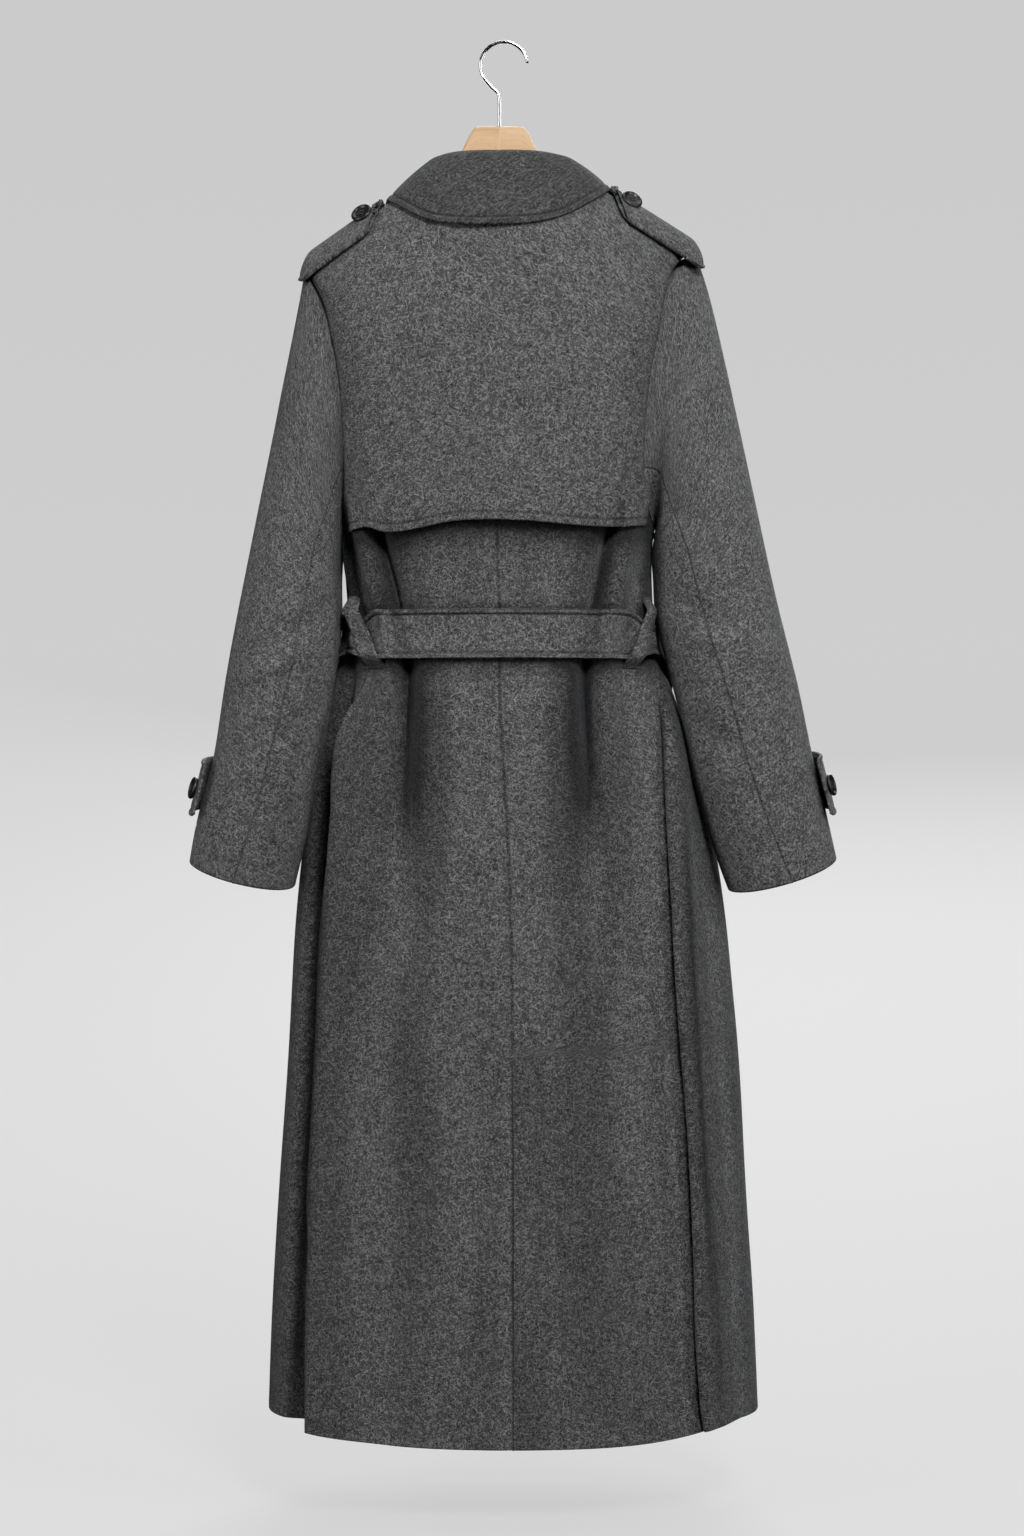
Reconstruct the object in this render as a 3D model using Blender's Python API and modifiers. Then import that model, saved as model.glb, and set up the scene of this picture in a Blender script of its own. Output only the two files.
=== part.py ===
"""Long belted trench coat of thick wool cloth on a wooden hanger, seen here as a set of cloth walls.

Units are metres. +Z is up, the back of the coat faces -Y and the wearer's left side is at -X.
The origin is the inside top of the hanger's hook, from which everything hangs.
The tables below give sizes in millimetres, and MM turns them into metres.
"""
from collections import namedtuple

import bmesh
import bpy
import numpy as np
from mathutils import Vector

COLLECTION = "Trench_coat"
MM = 0.001
WALL = 2.0                 # cloth thickness
SEAM = 0.4                 # half of the gap left between the outer faces of two pieces at a seam
ARM_GAP = 1.9              # the same at the armhole, where three pieces meet
LEFT = -1
RIGHT = 1

# ---- body of the coat: one row for each height ------------------------------------------------
Section = namedtuple("Section", "z centre half back front")
BODY = (
    Section(-1390, 9.5, 243, 132, 128),
    Section(-1257, 9.0, 238, 129, 126),
    Section(-1128, 9.0, 230, 126, 122),
    Section(-957, 8.3, 219, 120, 116),
    Section(-872, 7.0, 212, 115, 112),
    Section(-790, 4.0, 201, 109, 107),
    Section(-700, -2.0, 182, 102, 101),
    Section(-645, -4.0, 168, 95, 95),
    Section(-618, -4.0, 156, 89, 88),
    Section(-594, -3.0, 150, 86, 85),
    Section(-565, -4.0, 150, 86, 86),
    Section(-520, -6.0, 151, 88, 90),
    Section(-490, -6.0, 153.5, 89, 92),
    Section(-465, -5.0, 162, 90, 93),
    Section(-400, -3.0, 183, 89, 92),
    Section(-300, 0.0, 202, 86, 84),
    Section(-200, 0.0, 208, 80, 72),
    Section(-100, 0.0, 208, 74, 60),
)
FLATNESS = 0.85            # below 1, the section is flatter at the back and front than an ellipse
CROWN_DEPTH = 170.0        # how far below the shoulder line the body reaches its full depth
HEM_BACK, HEM_SIDE, HEM_FRONT = -1377.0, -1361.0, -1373.0
SIDE_SPLIT = 92.0          # angle of the side seam from the centre back, in degrees
UNDERARM_Z = -482.0

# shoulder line and neck, one row for each side
Shoulder = namedtuple("Shoulder", "neck_x neck_z point_x point_z")
SHOULDERS = {
    LEFT: Shoulder(74, -137, 199, -223),
    RIGHT: Shoulder(74, -137, 192, -210),
}
NECK_BACK_Z = -148.0

# armhole seam: distance from the middle plane at each height
Arm = namedtuple("Arm", "z left right")
ARMHOLE = (
    Arm(-490, 159.4, 147.4),
    Arm(-482, 158.6, 146.0),
    Arm(-465, 156.0, 139.0),
    Arm(-400, 155.0, 134.5),
    Arm(-360, 158.0, 138.5),
    Arm(-315, 166.0, 147.5),
    Arm(-272, 177.5, 157.0),
    Arm(-245, 189.5, 165.5),
    Arm(-225, 197.0, 178.0),
    Arm(-205, 203.0, 193.0),
)
FRONT_ARM_INSET = 4.0      # the front armhole is cut this much deeper

# folds of the body: a ridge of cloth whose crest runs between two heights, and may lean over
Fold = namedtuple("Fold", "side face path before after height lean top bottom")
BACK, FRONT = 0, 1
LEFT_EDGE = ((-640, 143), (-702, 157), (-779, 163), (-868, 170), (-1056, 181), (-1181, 184), (-1390, 187))
RIGHT_EDGE = ((-625, 144), (-689, 154), (-757, 160), (-846, 166), (-935, 170), (-1056, 179.5),
              (-1180, 186.5), (-1336, 193.5), (-1390, 200))
FOLDS = (
    # back panel's edge on the left, which covers the start of the side, and the hollow behind it
    Fold(LEFT, BACK, LEFT_EDGE, 60, 13, 9, 9, -612, -1900),
    Fold(LEFT, BACK, tuple((z, x + 7) for z, x in LEFT_EDGE), 13, 26, -17, 0, -620, -1900),
    # side panel folded over the back on the right
    Fold(RIGHT, BACK, RIGHT_EDGE, 11, 46, 7, -15, -612, -1900),
    # ridges that spread from the belt, below and above it
    Fold(LEFT, BACK, ((-600, 108), (-720, 112), (-1000, 120)), 16, 50, 7, -9, -590, -1000),
    Fold(RIGHT, BACK, ((-600, 98), (-720, 102), (-1000, 110)), 16, 54, 7, -7, -626, -960),
    Fold(LEFT, BACK, ((-480, 143), (-590, 114)), 17, 26, 9, -8, -440, -800),
    Fold(RIGHT, BACK, ((-480, 123), (-590, 100)), 17, 26, 6, -6, -440, -780),
    # hollows that the belt draws in beside those ridges
    Fold(LEFT, BACK, ((-578, 85), (-720, 88), (-1000, 98)), 32, 16, -17, 0, -578, -900),
    Fold(RIGHT, BACK, ((-578, 75), (-720, 78), (-1000, 87)), 32, 16, -17, 0, -578, -880),
    Fold(LEFT, BACK, ((-480, 122), (-590, 95)), 28, 14, -12, 0, -400, -800),
    Fold(RIGHT, BACK, ((-480, 103), (-590, 82)), 28, 14, -12, 0, -400, -800),
    # soft ridges of the front skirt below the belt
    Fold(LEFT, FRONT, ((-640, 118), (-900, 140), (-1390, 158)), 44, 30, 11, 6, -625, -2000),
    Fold(RIGHT, FRONT, ((-640, 112), (-900, 128), (-1390, 150)), 40, 34, 11, -6, -625, -2000),
)
FADE = 90.0                # length over which a fold grows; it dies away over three times that

# ---- sleeves: one row for each ring, from just outside the armhole to the cuff ------------------
Ring = namedtuple("Ring", "outer_x outer_z inner_x inner_z back front bow tilt")
SLEEVES = {
    LEFT: (
        Ring(205.5, -262, 161, -487, -60, 60, 14, 0),
        Ring(223.5, -359, 161, -509, -70, 54, 8, 0),
        Ring(242.3, -458, 161, -535, -77, 45, 2, 1),
        Ring(260.2, -557, 160.5, -585, -87, 33, 0, 3),
        Ring(274.1, -637, 170, -661, -95, 16, 0, 5),
        Ring(286.4, -712, 185, -735, -97, 9, 0, 7),
        Ring(300.6, -769, 194.5, -794, -96, 5, 0, 8),
        Ring(309.1, -816, 205.4, -841, -94, 3, 0, 9),
    ),
    RIGHT: (
        Ring(206.5, -260, 151, -487, -58, 58, 16, 0),
        Ring(228.5, -359, 148, -510, -70, 53, 10, 0),
        Ring(249.4, -458, 148.5, -538, -80, 42, 2, 1),
        Ring(270.2, -557, 152, -588, -90, 30, 0, 3),
        Ring(288.1, -637, 171, -665, -97, 15, 0, 5),
        Ring(302.3, -707, 186, -735, -99, 8, 0, 7),
        Ring(317.6, -768, 205, -799, -98, 4, 0, 8),
        Ring(327.2, -813, 221.4, -844, -95, 3, 0, 9),
    ),
}
# the sleeve's back seam, as an angle from the outer line in degrees, at the armhole and at the cuff
BACK_SEAM = (128.0, 84.0)
FRONT_SEAM = (108.0, 62.0)

# ---- collar: one row for each place around the neck, from the left front to the right front -----
CollarPlace = namedtuple("CollarPlace", "roll_x roll_y roll_z edge_x edge_y edge_z foot_x foot_y foot_z")
COLLAR = (
    CollarPlace(-51, 60, -172, -112, 76, -208, -47, 54, -186),
    CollarPlace(-67, 33, -131, -121, 42, -194, -67, 22, -144),
    CollarPlace(-73, 4, -122, -119, 6, -159.5, -72, 0, -134),
    CollarPlace(-66, -26, -116.5, -109, -35, -167, -66, -24, -134),
    CollarPlace(-42, -42, -114.5, -70, -70, -190, -42, -45, -139.5),
    CollarPlace(-4, -48, -114.5, -8, -87, -196, -4, -58, -145.5),
    CollarPlace(34, -43, -114.5, 52, -72, -187.5, 38, -47, -140),
    CollarPlace(60, -27, -117, 97, -38, -159.5, 66, -24, -134),
    CollarPlace(69, 4, -122, 108, 6, -148, 72, 0, -134),
    CollarPlace(65, 33, -131, 115, 44, -182, 67, 22, -144),
    CollarPlace(51, 60, -172, 110, 76, -204, 47, 54, -186),
)
COLLAR_RISE = 5.6          # how far the fall arches out between its roll and its edge

# ---- front opening --------------------------------------------------------------------------
BREAK_Z = -452.0           # height at which the lapels start to fold back
OVERLAP = 78.0             # how far each front passes the centre front
FRONT_LAYER = 5.5          # step between the two fronts where they overlap

# ---- belt -----------------------------------------------------------------------------------
BELT_Z = -594.0
BELT_WIDTH = 48.0
BELT_LIFT = 5.4
BELT_WALL = 3.0
LOOP_ANGLE = {LEFT: 62.0, RIGHT: 66.0}     # in degrees from the centre back

# ---- storm flap -----------------------------------------------------------------------------
FLAP_LIFT_TOP, FLAP_LIFT_EDGE = 5.2, 8.5
FLAP_ARM_Z = -462.0         # below this the side edge of the flap hangs straight down
FLAP_EDGE = ((-157, -494), (-139, -492), (-124, -489.5), (-116, -493.5), (-99, -495), (-80, -492),
             (-50, -486), (-14, -484.5), (20.6, -485.5), (59, -488.5), (99.5, -490), (140, -486))

# ---- hanger ---------------------------------------------------------------------------------
WOOD_THICK = 13.0
HEAD_TOP_Z = -84.0
HOOK_WIRE, HOOK_RADIUS = 3.4, 23.5
HOOK_CENTRE_Z = HOOK_WIRE / 2 - HOOK_RADIUS
HOOK_TIP, HOOK_END = 9.0, 217.0    # the hook's arc, in degrees from its open side over the top
WOOD_CENTRE_X = -4.5
WOOD_REACH = {LEFT: 180.0, RIGHT: 178.0}

# ---- straps, lapels and buttons ---------------------------------------------------------------
LAPEL_LIFT = {LEFT: 4.8, RIGHT: 6.9}
LAPEL_LEFT_BOTTOM, LAPEL_RIGHT_BOTTOM, LAPEL_TOP, LAPEL_PEAK = -318.0, -436.0, -216.0, 124.0
STRAP_ENDS = {LEFT: (122.0, 203.0), RIGHT: (108.0, 198.0)}     # shoulder strap, inner and outer end
STRAP_DROP_BACK, STRAP_DROP_FRONT, STRAP_LIFT = 29.0, 15.0, 9.6
CUFF_STRAP_START, CUFF_STRAP_END = 30.0, -140.0     # around the sleeve, in degrees from its outer line
CUFF_STRAP_PLACE, CUFF_STRAP_SPAN = 6.5 / 8, 0.95 / 8
CUFF_STRAP_LIFT, CUFF_STRAP_STANDS_OFF = 3.3, 8.5
CUFF_BUTTON_TURN = 15.0
BUTTON_RADIUS, BUTTON_THICK, BUTTON_FROM_END = 11.0, 4.0, 14.0
FRONT_BUTTON_ROWS = ((-472.0, 0.9), (-596.0, 1.7), (-850.0, 0.9))   # height, stand-off
FRONT_BUTTON_ACROSS = 62.0
LOOP_WIDTH, LOOP_HEIGHT, LOOP_RISE = 12.0, 80.0, 8.6
LOOP_SLANT = 0.24           # turn of a loop's top away from the centre back, in radians
BELT_DROOP = 112.0
KNOT_HALF, KNOT_HEIGHT, KNOT_DEPTH = 29.0, 50.0, 26.0
BELT_ENDS = (("belt_end_left", -8.0, 330.0, -9.0, 3.6), ("belt_end_right", 14.0, 370.0, 9.0, 7.2))

CLOTH = ("wool", (0.10, 0.10, 0.10), 0.95, 0.0)
HORN = ("button", (0.02, 0.02, 0.022), 0.25, 0.0)
WOOD = ("beech", (0.72, 0.50, 0.30), 0.45, 0.0)
STEEL = ("hook_metal", (0.75, 0.75, 0.75), 0.18, 1.0)


# ---- mathematics ------------------------------------------------------------------------------
def spline(knots, values, at):
    """Smooth curve through the knots: each stretch is a cubic whose end slopes come from its neighbours."""
    knots = np.asarray(knots, float)
    values = np.asarray(values, float)
    at = np.clip(np.asarray(at, float), knots[0], knots[-1])
    slopes = np.gradient(values, knots, axis=0)
    i = np.clip(np.searchsorted(knots, at, side="right") - 1, 0, len(knots) - 2)
    span = knots[i + 1] - knots[i]
    t = (at - knots[i]) / span
    if values.ndim > 1:
        t, span = t[..., None], span[..., None]
    start = (1 + 2 * t) * (1 - t) ** 2 * values[i] + t * (1 - t) ** 2 * span * slopes[i]
    return start + t * t * (3 - 2 * t) * values[i + 1] + t * t * (t - 1) * span * slopes[i + 1]


def ramp(t):
    """Smooth step from 0 to 1 while t goes from 0 to 1."""
    t = np.clip(t, 0.0, 1.0)
    return t * t * (3 - 2 * t)


def column(table, name, z):
    return spline([row.z for row in table], [getattr(row, name) for row in table], z)


def shoulder_z(side, x):
    """Height of the shoulder line at a distance x from the middle plane."""
    s = SHOULDERS[side]
    slope = (s.point_z - s.neck_z) / (s.point_x - s.neck_x)
    return s.neck_z + (np.abs(x) - s.neck_x) * slope


def top_z(side, x):
    """Top edge of the body: the neck curve in the middle and the shoulder line beyond it."""
    s = SHOULDERS[side]
    x = np.abs(x)
    neck = NECK_BACK_Z + (s.neck_z - NECK_BACK_Z) * (x / s.neck_x) ** 2
    return np.where(x < s.neck_x, neck, shoulder_z(side, x))


def section(side, angle, z):
    """Plan section: a flattened ellipse, squeezed to nothing at the shoulder line."""
    across, along = np.sin(angle), np.cos(angle)
    depth = np.where(along > 0, column(BODY, "back", z), column(BODY, "front", z))
    x = column(BODY, "centre", z) + side * column(BODY, "half", z) * across
    y = -depth * np.sign(along) * np.abs(along) ** FLATNESS
    below = np.clip((shoulder_z(side, x) - z) / CROWN_DEPTH, 0.0, 1.0)
    return x, y * np.sqrt(below) * (1.5 - 0.5 * below)


def body(side, angle, z, lift=0.0, taut=False):
    """Point on the body's outer surface: the section, moved out by its folds and by the lift. A taut cloth
    over it bridges the hollows."""
    angle, z = np.broadcast_arrays(np.asarray(angle, float), np.asarray(z, float))
    x, y = section(side, angle, z)
    ahead_x, ahead_y = section(side, angle + 0.01, z)
    along_x, along_y = ahead_x - x, ahead_y - y
    length = np.maximum(np.hypot(along_x, along_y), 1e-6)
    along_x, along_y = along_x / length, along_y / length
    out_x, out_y = side * along_y, -side * along_x
    centre, half = column(BODY, "centre", z), column(BODY, "half", z)
    depth = column(BODY, "back", z)
    outward = np.asarray(lift, float) + np.zeros_like(x)
    sideways = np.zeros_like(x)
    for fold in FOLDS:
        if fold.side != side or (taut and fold.height < 0):
            continue
        path = sorted(fold.path)
        crest_x = spline([p[0] for p in path], [p[1] for p in path], z)
        crest_x = crest_x - 0.6 * fold.height - 0.8 * fold.lean
        crest = np.arcsin(np.clip((crest_x - side * centre) / half, -0.99, 0.99))
        if fold.face == FRONT:
            crest = np.pi - crest
        speed = np.hypot(half * np.cos(crest), depth * np.sin(crest))
        distance = (angle - crest) * speed
        shape = ramp(1 + distance / fold.before) * ramp(1 - distance / fold.after)
        shape = shape * ramp((fold.top - z) / FADE) * ramp((z - fold.bottom) / (3 * FADE))
        outward = outward + fold.height * shape
        sideways = sideways + fold.lean * shape
    # near the shoulder line the surface turns to face up, and so does the way out of it
    below = np.clip((shoulder_z(side, x) - z) / CROWN_DEPTH, 0.0, 1.0)
    slope = 2.0 * CROWN_DEPTH * np.sqrt(below) / (1.5 * depth)
    level = slope / np.sqrt(1 + slope * slope)
    level = level + (1 - level) * ramp(below)
    rise = np.sqrt(np.maximum(0.0, 1 - level * level)) * outward
    x = x + out_x * outward * level + along_x * sideways
    y = y + out_y * outward * level + along_y * sideways
    return np.stack([x, y, z + rise], axis=-1)


def arm_angle(side, z, front=False):
    """Angle at which the armhole seam crosses the body's section at a height."""
    name = "left" if side == LEFT else "right"
    x = column(ARMHOLE, name, z) - (FRONT_ARM_INSET if front else 0.0)
    centre, half = column(BODY, "centre", z), column(BODY, "half", z)
    angle = np.arcsin(np.clip((x - side * centre) / half, -1.0, 0.999))
    return np.pi - angle if front else angle


def armhole(side, turn):
    """Armhole curve: turn 0 is the shoulder point, +pi/2 its back, pi the underarm, -pi/2 its front."""
    turn = np.asarray(turn, float)
    top = SHOULDERS[side].point_z
    z = top + (UNDERARM_Z - top) * (1 - np.cos(turn)) / 2
    points = [body(side, arm_angle(side, z, front), z) for front in (False, True)]
    return np.where((np.sin(turn) < 0)[..., None], points[1], points[0])


# ---- building -----------------------------------------------------------------------------------
def material(spec):
    name, colour, rough, metal = spec
    found = bpy.data.materials.get(name)
    if found:
        return found
    made = bpy.data.materials.new(name)
    made.use_nodes = True
    shader = made.node_tree.nodes["Principled BSDF"]
    shader.inputs["Base Color"].default_value = (*colour, 1.0)
    shader.inputs["Roughness"].default_value = rough
    shader.inputs["Metallic"].default_value = metal
    return made


def add_object(name, mesh, spec):
    made = bpy.data.objects.new(name, mesh)
    mesh.materials.append(material(spec))
    bpy.data.collections[COLLECTION].objects.link(made)
    return made


def cloth(name, shape, columns, rows, wall=WALL, flip=False):
    """Wall of cloth: a grid whose points go where shape(u, v) says, thickened inwards.

    u runs over the columns and v over the rows, both from 0 to 1."""
    bm = bmesh.new()
    bmesh.ops.create_grid(bm, x_segments=columns, y_segments=rows, size=0.5)
    verts = list(bm.verts)
    uv = np.array([(v.co.x + 0.5, v.co.y + 0.5) for v in verts])
    places = shape(uv[:, 0], uv[:, 1]) * MM
    for vert, place in zip(verts, places):
        vert.co = place
    if flip:
        bmesh.ops.reverse_faces(bm, faces=bm.faces[:])
    bmesh.ops.triangulate(bm, faces=bm.faces[:])
    mesh = bpy.data.meshes.new(name)
    bm.to_mesh(mesh)
    bm.free()
    mesh.shade_smooth()
    made = add_object(name, mesh, CLOTH)
    solid = made.modifiers.new("wall", "SOLIDIFY")
    solid.thickness = wall * MM
    solid.offset = -1.0
    solid.use_even_offset = False
    return made


# heights of the body's rows: shares of the way from the underarm up to the top edge, then plain heights
UPPER_SHARES = (1.0, 0.97, 0.91, 0.81, 0.66, 0.48, 0.28, 0.12, 0.0)
LOWER_ROWS = (-520, -560, -594, -622, -655, -705, -790, -900, -1040, -1210)
# columns of a back panel, as shares of the way from the middle to the side: closer where it folds
BACK_COLUMNS = (0.0, 0.12, 0.25, 0.37, 0.46, 0.53, 0.575, 0.615, 0.655, 0.69, 0.73, 0.78, 0.85, 0.93, 1.0)


def edge_angle(side, front, z):
    """Outer edge of a panel: the armhole above the underarm, the side seam below it."""
    seam = np.radians(SIDE_SPLIT) + (1 if front else -1) * SEAM / 150
    arm = arm_angle(side, z, front) + (1 if front else -1) * ARM_GAP / 150
    return arm + (seam - arm) * ramp((UNDERARM_Z + 4 - z) / 16.0)


def opening(z):
    """Distance of the front edge from the centre front, on the panel's own side; less than 0 is past it."""
    neck = SHOULDERS[LEFT]
    share = np.clip((z - BREAK_Z) / (neck.neck_z - BREAK_Z), 0.0, 1.0)
    return -OVERLAP + (neck.neck_x + OVERLAP) * share


def front_layer(side, angle):
    """The right front lies over the left one where they overlap."""
    return (FRONT_LAYER if side == RIGHT else 0.0) * ramp((angle - np.radians(115)) / np.radians(40))


def body_panel(side, front, columns, name):
    """Back or front panel from the shoulder to the hem; u runs from the middle to the armhole or side."""
    row_count = len(UPPER_SHARES) + len(LOWER_ROWS)
    base = UNDERARM_Z
    neck_z = SHOULDERS[side].neck_z

    def shape(u, v):
        index = np.rint(v * row_count).astype(int)
        share = np.array(UPPER_SHARES + (0.0,) * (len(LOWER_ROWS) + 1))[index]
        level = np.array((base,) * len(UPPER_SHARES) + LOWER_ROWS + (HEM_SIDE,))[index]
        edge_z = np.where(share > 0, base + (SHOULDERS[side].point_z - base) * share, level)
        outer = edge_angle(side, front, edge_z)
        if front:
            inner_z = np.where(share > 0, base + (neck_z - base) * share, level)
            half, centre = column(BODY, "half", inner_z), column(BODY, "centre", inner_z)
            inner = np.pi - np.arcsin((opening(inner_z) - side * centre) / half)
        else:
            inner = np.full_like(outer, SEAM / 180)
        across = u if front else np.array(BACK_COLUMNS)[np.rint(u * columns).astype(int)]
        angle = inner + across * (outer - inner)
        z = edge_z
        for _ in range(3):
            x, _y = section(side, angle, z)
            top = np.minimum(shoulder_z(side, x), neck_z) if front else top_z(side, x)
            z = np.where(share > 0, base + (top - base) * share, edge_z)
        hem_middle = HEM_FRONT if front else HEM_BACK
        rise = ramp(1.6 * (1 - np.abs(np.cos(angle))))
        z = np.where(index == row_count, hem_middle + (HEM_SIDE - hem_middle) * rise, z)
        points = body(side, angle, z, front_layer(side, angle) if front else 0.0)
        points[..., 1] += (0.2 + share) * (1 if front else -1)
        return points

    return cloth(name, shape, columns, row_count, flip=(side == LEFT) == front)


def clear_scene():
    for item in list(bpy.data.objects):
        bpy.data.objects.remove(item, do_unlink=True)
    made = bpy.data.collections.new(COLLECTION)
    bpy.context.scene.collection.children.link(made)


def side_name(side):
    return "left" if side == LEFT else "right"


def panels():
    for side in (LEFT, RIGHT):
        body_panel(side, False, len(BACK_COLUMNS) - 1, "back_" + side_name(side))
        body_panel(side, True, 11, "front_" + side_name(side))


def storm_flap():
    """Free flap over the upper back, caught in the shoulder and armhole seams."""
    rows = len(UPPER_SHARES) - 1
    edge_x, edge_z = zip(*FLAP_EDGE)

    def shape(u, v):
        share = np.array(UPPER_SHARES)[np.rint(v * rows).astype(int)]
        points = []
        for side in (LEFT, RIGHT):
            part = np.abs(2 * u - 1)
            corner = edge_z[0] if side == LEFT else edge_z[-1]
            arm_z = np.maximum(corner + (SHOULDERS[side].point_z - corner) * share, FLAP_ARM_Z)
            outer = arm_angle(side, arm_z) - 1.3 * ARM_GAP / 130
            angle = part * outer
            z = np.full_like(angle, corner)
            for _ in range(3):
                x, _y = section(side, angle, z)
                free = spline(edge_x, edge_z, x)
                z = free + (top_z(side, x) - free) * share
            loose = (1 - share) ** 2 * (1 - part ** 4)
            lift = FLAP_LIFT_TOP + (FLAP_LIFT_EDGE - FLAP_LIFT_TOP) * loose
            points.append(body(side, angle, z, lift, taut=True) - (0.0, 0.8, 0.0))
        return np.where((u < 0.5)[:, None], points[0], points[1])

    cloth("storm_flap", shape, 16, rows, flip=True)


def sleeve_ring(side, ring, turn):
    """Ring of the sleeve: an ellipse between its outer and inner points, bowed towards the body."""
    across, along = np.cos(turn), np.sin(turn)
    x = (ring.outer_x + ring.inner_x) / 2 + (ring.outer_x - ring.inner_x) / 2 * across - ring.bow * along ** 2
    y = (ring.back + ring.front) / 2 + (ring.back - ring.front) / 2 * along
    z = (ring.outer_z + ring.inner_z) / 2 + (ring.outer_z - ring.inner_z) / 2 * across - ring.tilt * along
    return np.stack([side * x, y, z], axis=-1)


def sleeve_point(side, turn, v):
    """Smooth run from the armhole curve through the rings to the cuff; v is 0 to 1 along it."""
    start = armhole(side, turn)
    start[..., 0] += side * (3.3 + 0.6 * np.maximum(0.0, np.cos(turn)))
    rings = [start] + [sleeve_ring(side, ring, turn) for ring in SLEEVES[side]]
    stack = np.stack(rings)
    place = np.clip(v, 0, 1) * (len(rings) - 1)
    i = np.minimum(place.astype(int), len(rings) - 2)
    t = (place - i)[:, None]
    pick = np.arange(len(turn))
    slopes = np.gradient(stack, axis=0)
    near, far = stack[i, pick], stack[i + 1, pick]
    near_slope, far_slope = slopes[i, pick], slopes[i + 1, pick]
    start = (1 + 2 * t) * (1 - t) ** 2 * near + t * (1 - t) ** 2 * near_slope
    return start + t * t * (3 - 2 * t) * far + t * t * (t - 1) * far_slope


def seam_turn(seam, v):
    return np.radians(seam[0] + (seam[1] - seam[0]) * v)


def sleeves():
    gap = SEAM * 1.8 / 55
    for side in (LEFT, RIGHT):
        def upper(u, v, side=side):
            low, high = -seam_turn(FRONT_SEAM, v) + gap, seam_turn(BACK_SEAM, v) - gap
            return sleeve_point(side, low + (high - low) * u, v)

        def under(u, v, side=side):
            low, high = seam_turn(BACK_SEAM, v) + gap, 2 * np.pi - seam_turn(FRONT_SEAM, v) - gap
            return sleeve_point(side, low + (high - low) * u, v)

        name = "sleeve_" + side_name(side)
        cloth(name + "_upper", upper, 8, 10, flip=side == LEFT)
        cloth(name + "_under", under, 7, 10, flip=side == LEFT)


def collar_point(u, v):
    """Fall of the collar: from the roll line at v 0 to the free edge at v 1, arched out between them."""
    table = np.array(COLLAR, float)
    knots = np.linspace(0, 1, len(COLLAR))
    places = spline(knots, table, u)
    roll, edge = places[:, :3], places[:, 3:6]
    radial = roll * (1, 1, 0)
    radial = radial / np.linalg.norm(radial, axis=1)[:, None]
    arch = 4 * v * (1 - v) * (1 - 0.3 * v)
    share = v[:, None]
    return roll + (edge - roll) * share + COLLAR_RISE * arch[:, None] * (radial * 0.75 + (0, 0, 0.65))


def collar():
    cloth("collar_fall", collar_point, 20, 4, flip=True)

    def stand(u, v):
        """Band that stands in the neck, from just under the roll down to the neck seam."""
        table = np.array(COLLAR, float)
        foot = spline(np.linspace(0, 1, len(COLLAR)), table, u)[:, 6:]
        roll = collar_point(u, np.zeros_like(u))
        inward = roll * (1, 1, 0)
        inward = inward / np.linalg.norm(inward, axis=1)[:, None]
        return (roll - inward * 2.6 - (0, 0, 1.0)) * (1 - v[:, None]) + foot * v[:, None]

    cloth("collar_stand", stand, 20, 1, flip=True)


def lapels():
    """Turned-back top of each front, from the roll line out to the lapel's edge."""
    for side, bottom in ((LEFT, LAPEL_LEFT_BOTTOM), (RIGHT, LAPEL_RIGHT_BOTTOM)):
        def shape(u, v, side=side, bottom=bottom):
            z = bottom + (LAPEL_TOP - bottom) * u
            roll = opening(z) + 2.0
            if side == LEFT:
                roll = np.maximum(roll, 9.0 - opening(z))
            edge = -OVERLAP + (LAPEL_PEAK + OVERLAP) * (z - BREAK_Z) / (LAPEL_TOP - BREAK_Z)
            across = roll + np.maximum(edge - roll, 4.0) * v
            z = z + 16.0 * v * u ** 2
            half, centre = column(BODY, "half", z), column(BODY, "centre", z)
            angle = np.pi - np.arcsin((across - side * centre) / half)
            return body(side, angle, z, front_layer(side, angle) + LAPEL_LIFT[side] + 4.0 * v * (1 - v))

        cloth("lapel_" + side_name(side), shape, 4, 7, flip=side == LEFT)


def shoulder_strap_point(side, along, across, lift):
    """Point over the shoulder line: along is the distance from the middle, across runs -1 front to 1 back."""
    depth = np.where(across > 0, STRAP_DROP_BACK, STRAP_DROP_FRONT) * across ** 2
    angle = np.arcsin(np.clip((along - side * column(BODY, "centre", -200)) / 208.0, -1, 1))
    z = shoulder_z(side, along) - depth
    points = [body(side, turned, z, lift) for turned in (angle, np.pi - angle)]
    return np.where((across > 0)[:, None], points[0], points[1])


def shoulder_straps():
    for side in (LEFT, RIGHT):
        inner, outer = STRAP_ENDS[side]

        def shape(u, v, side=side, inner=inner, outer=outer):
            narrow = np.sqrt(np.maximum(0.0, 1 - np.clip((u - 0.8) / 0.215, 0, 1) ** 2))
            across = (2 * v - 1) * narrow * (0.9 + 0.1 * np.cos(u * 3))
            return shoulder_strap_point(side, outer + (inner - outer) * u, across, STRAP_LIFT)

        cloth("shoulder_strap_" + side_name(side), shape, 8, 6, wall=2.4, flip=side == LEFT)


def cuff_straps():
    for side in (LEFT, RIGHT):
        def shape(u, v, side=side):
            turn = np.radians(CUFF_STRAP_START + (CUFF_STRAP_END - CUFF_STRAP_START) * u)
            base = sleeve_point(side, turn, CUFF_STRAP_PLACE + CUFF_STRAP_SPAN * (v - 0.5))
            lift = CUFF_STRAP_LIFT + CUFF_STRAP_STANDS_OFF * (1 - ramp(u / 0.35))
            out = np.stack([side * np.cos(turn), -np.sin(turn), np.zeros_like(turn)], axis=-1)
            return base + out * lift[:, None]

        cloth("cuff_strap_" + side_name(side), shape, 11, 2, wall=2.4, flip=side == RIGHT)


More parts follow.
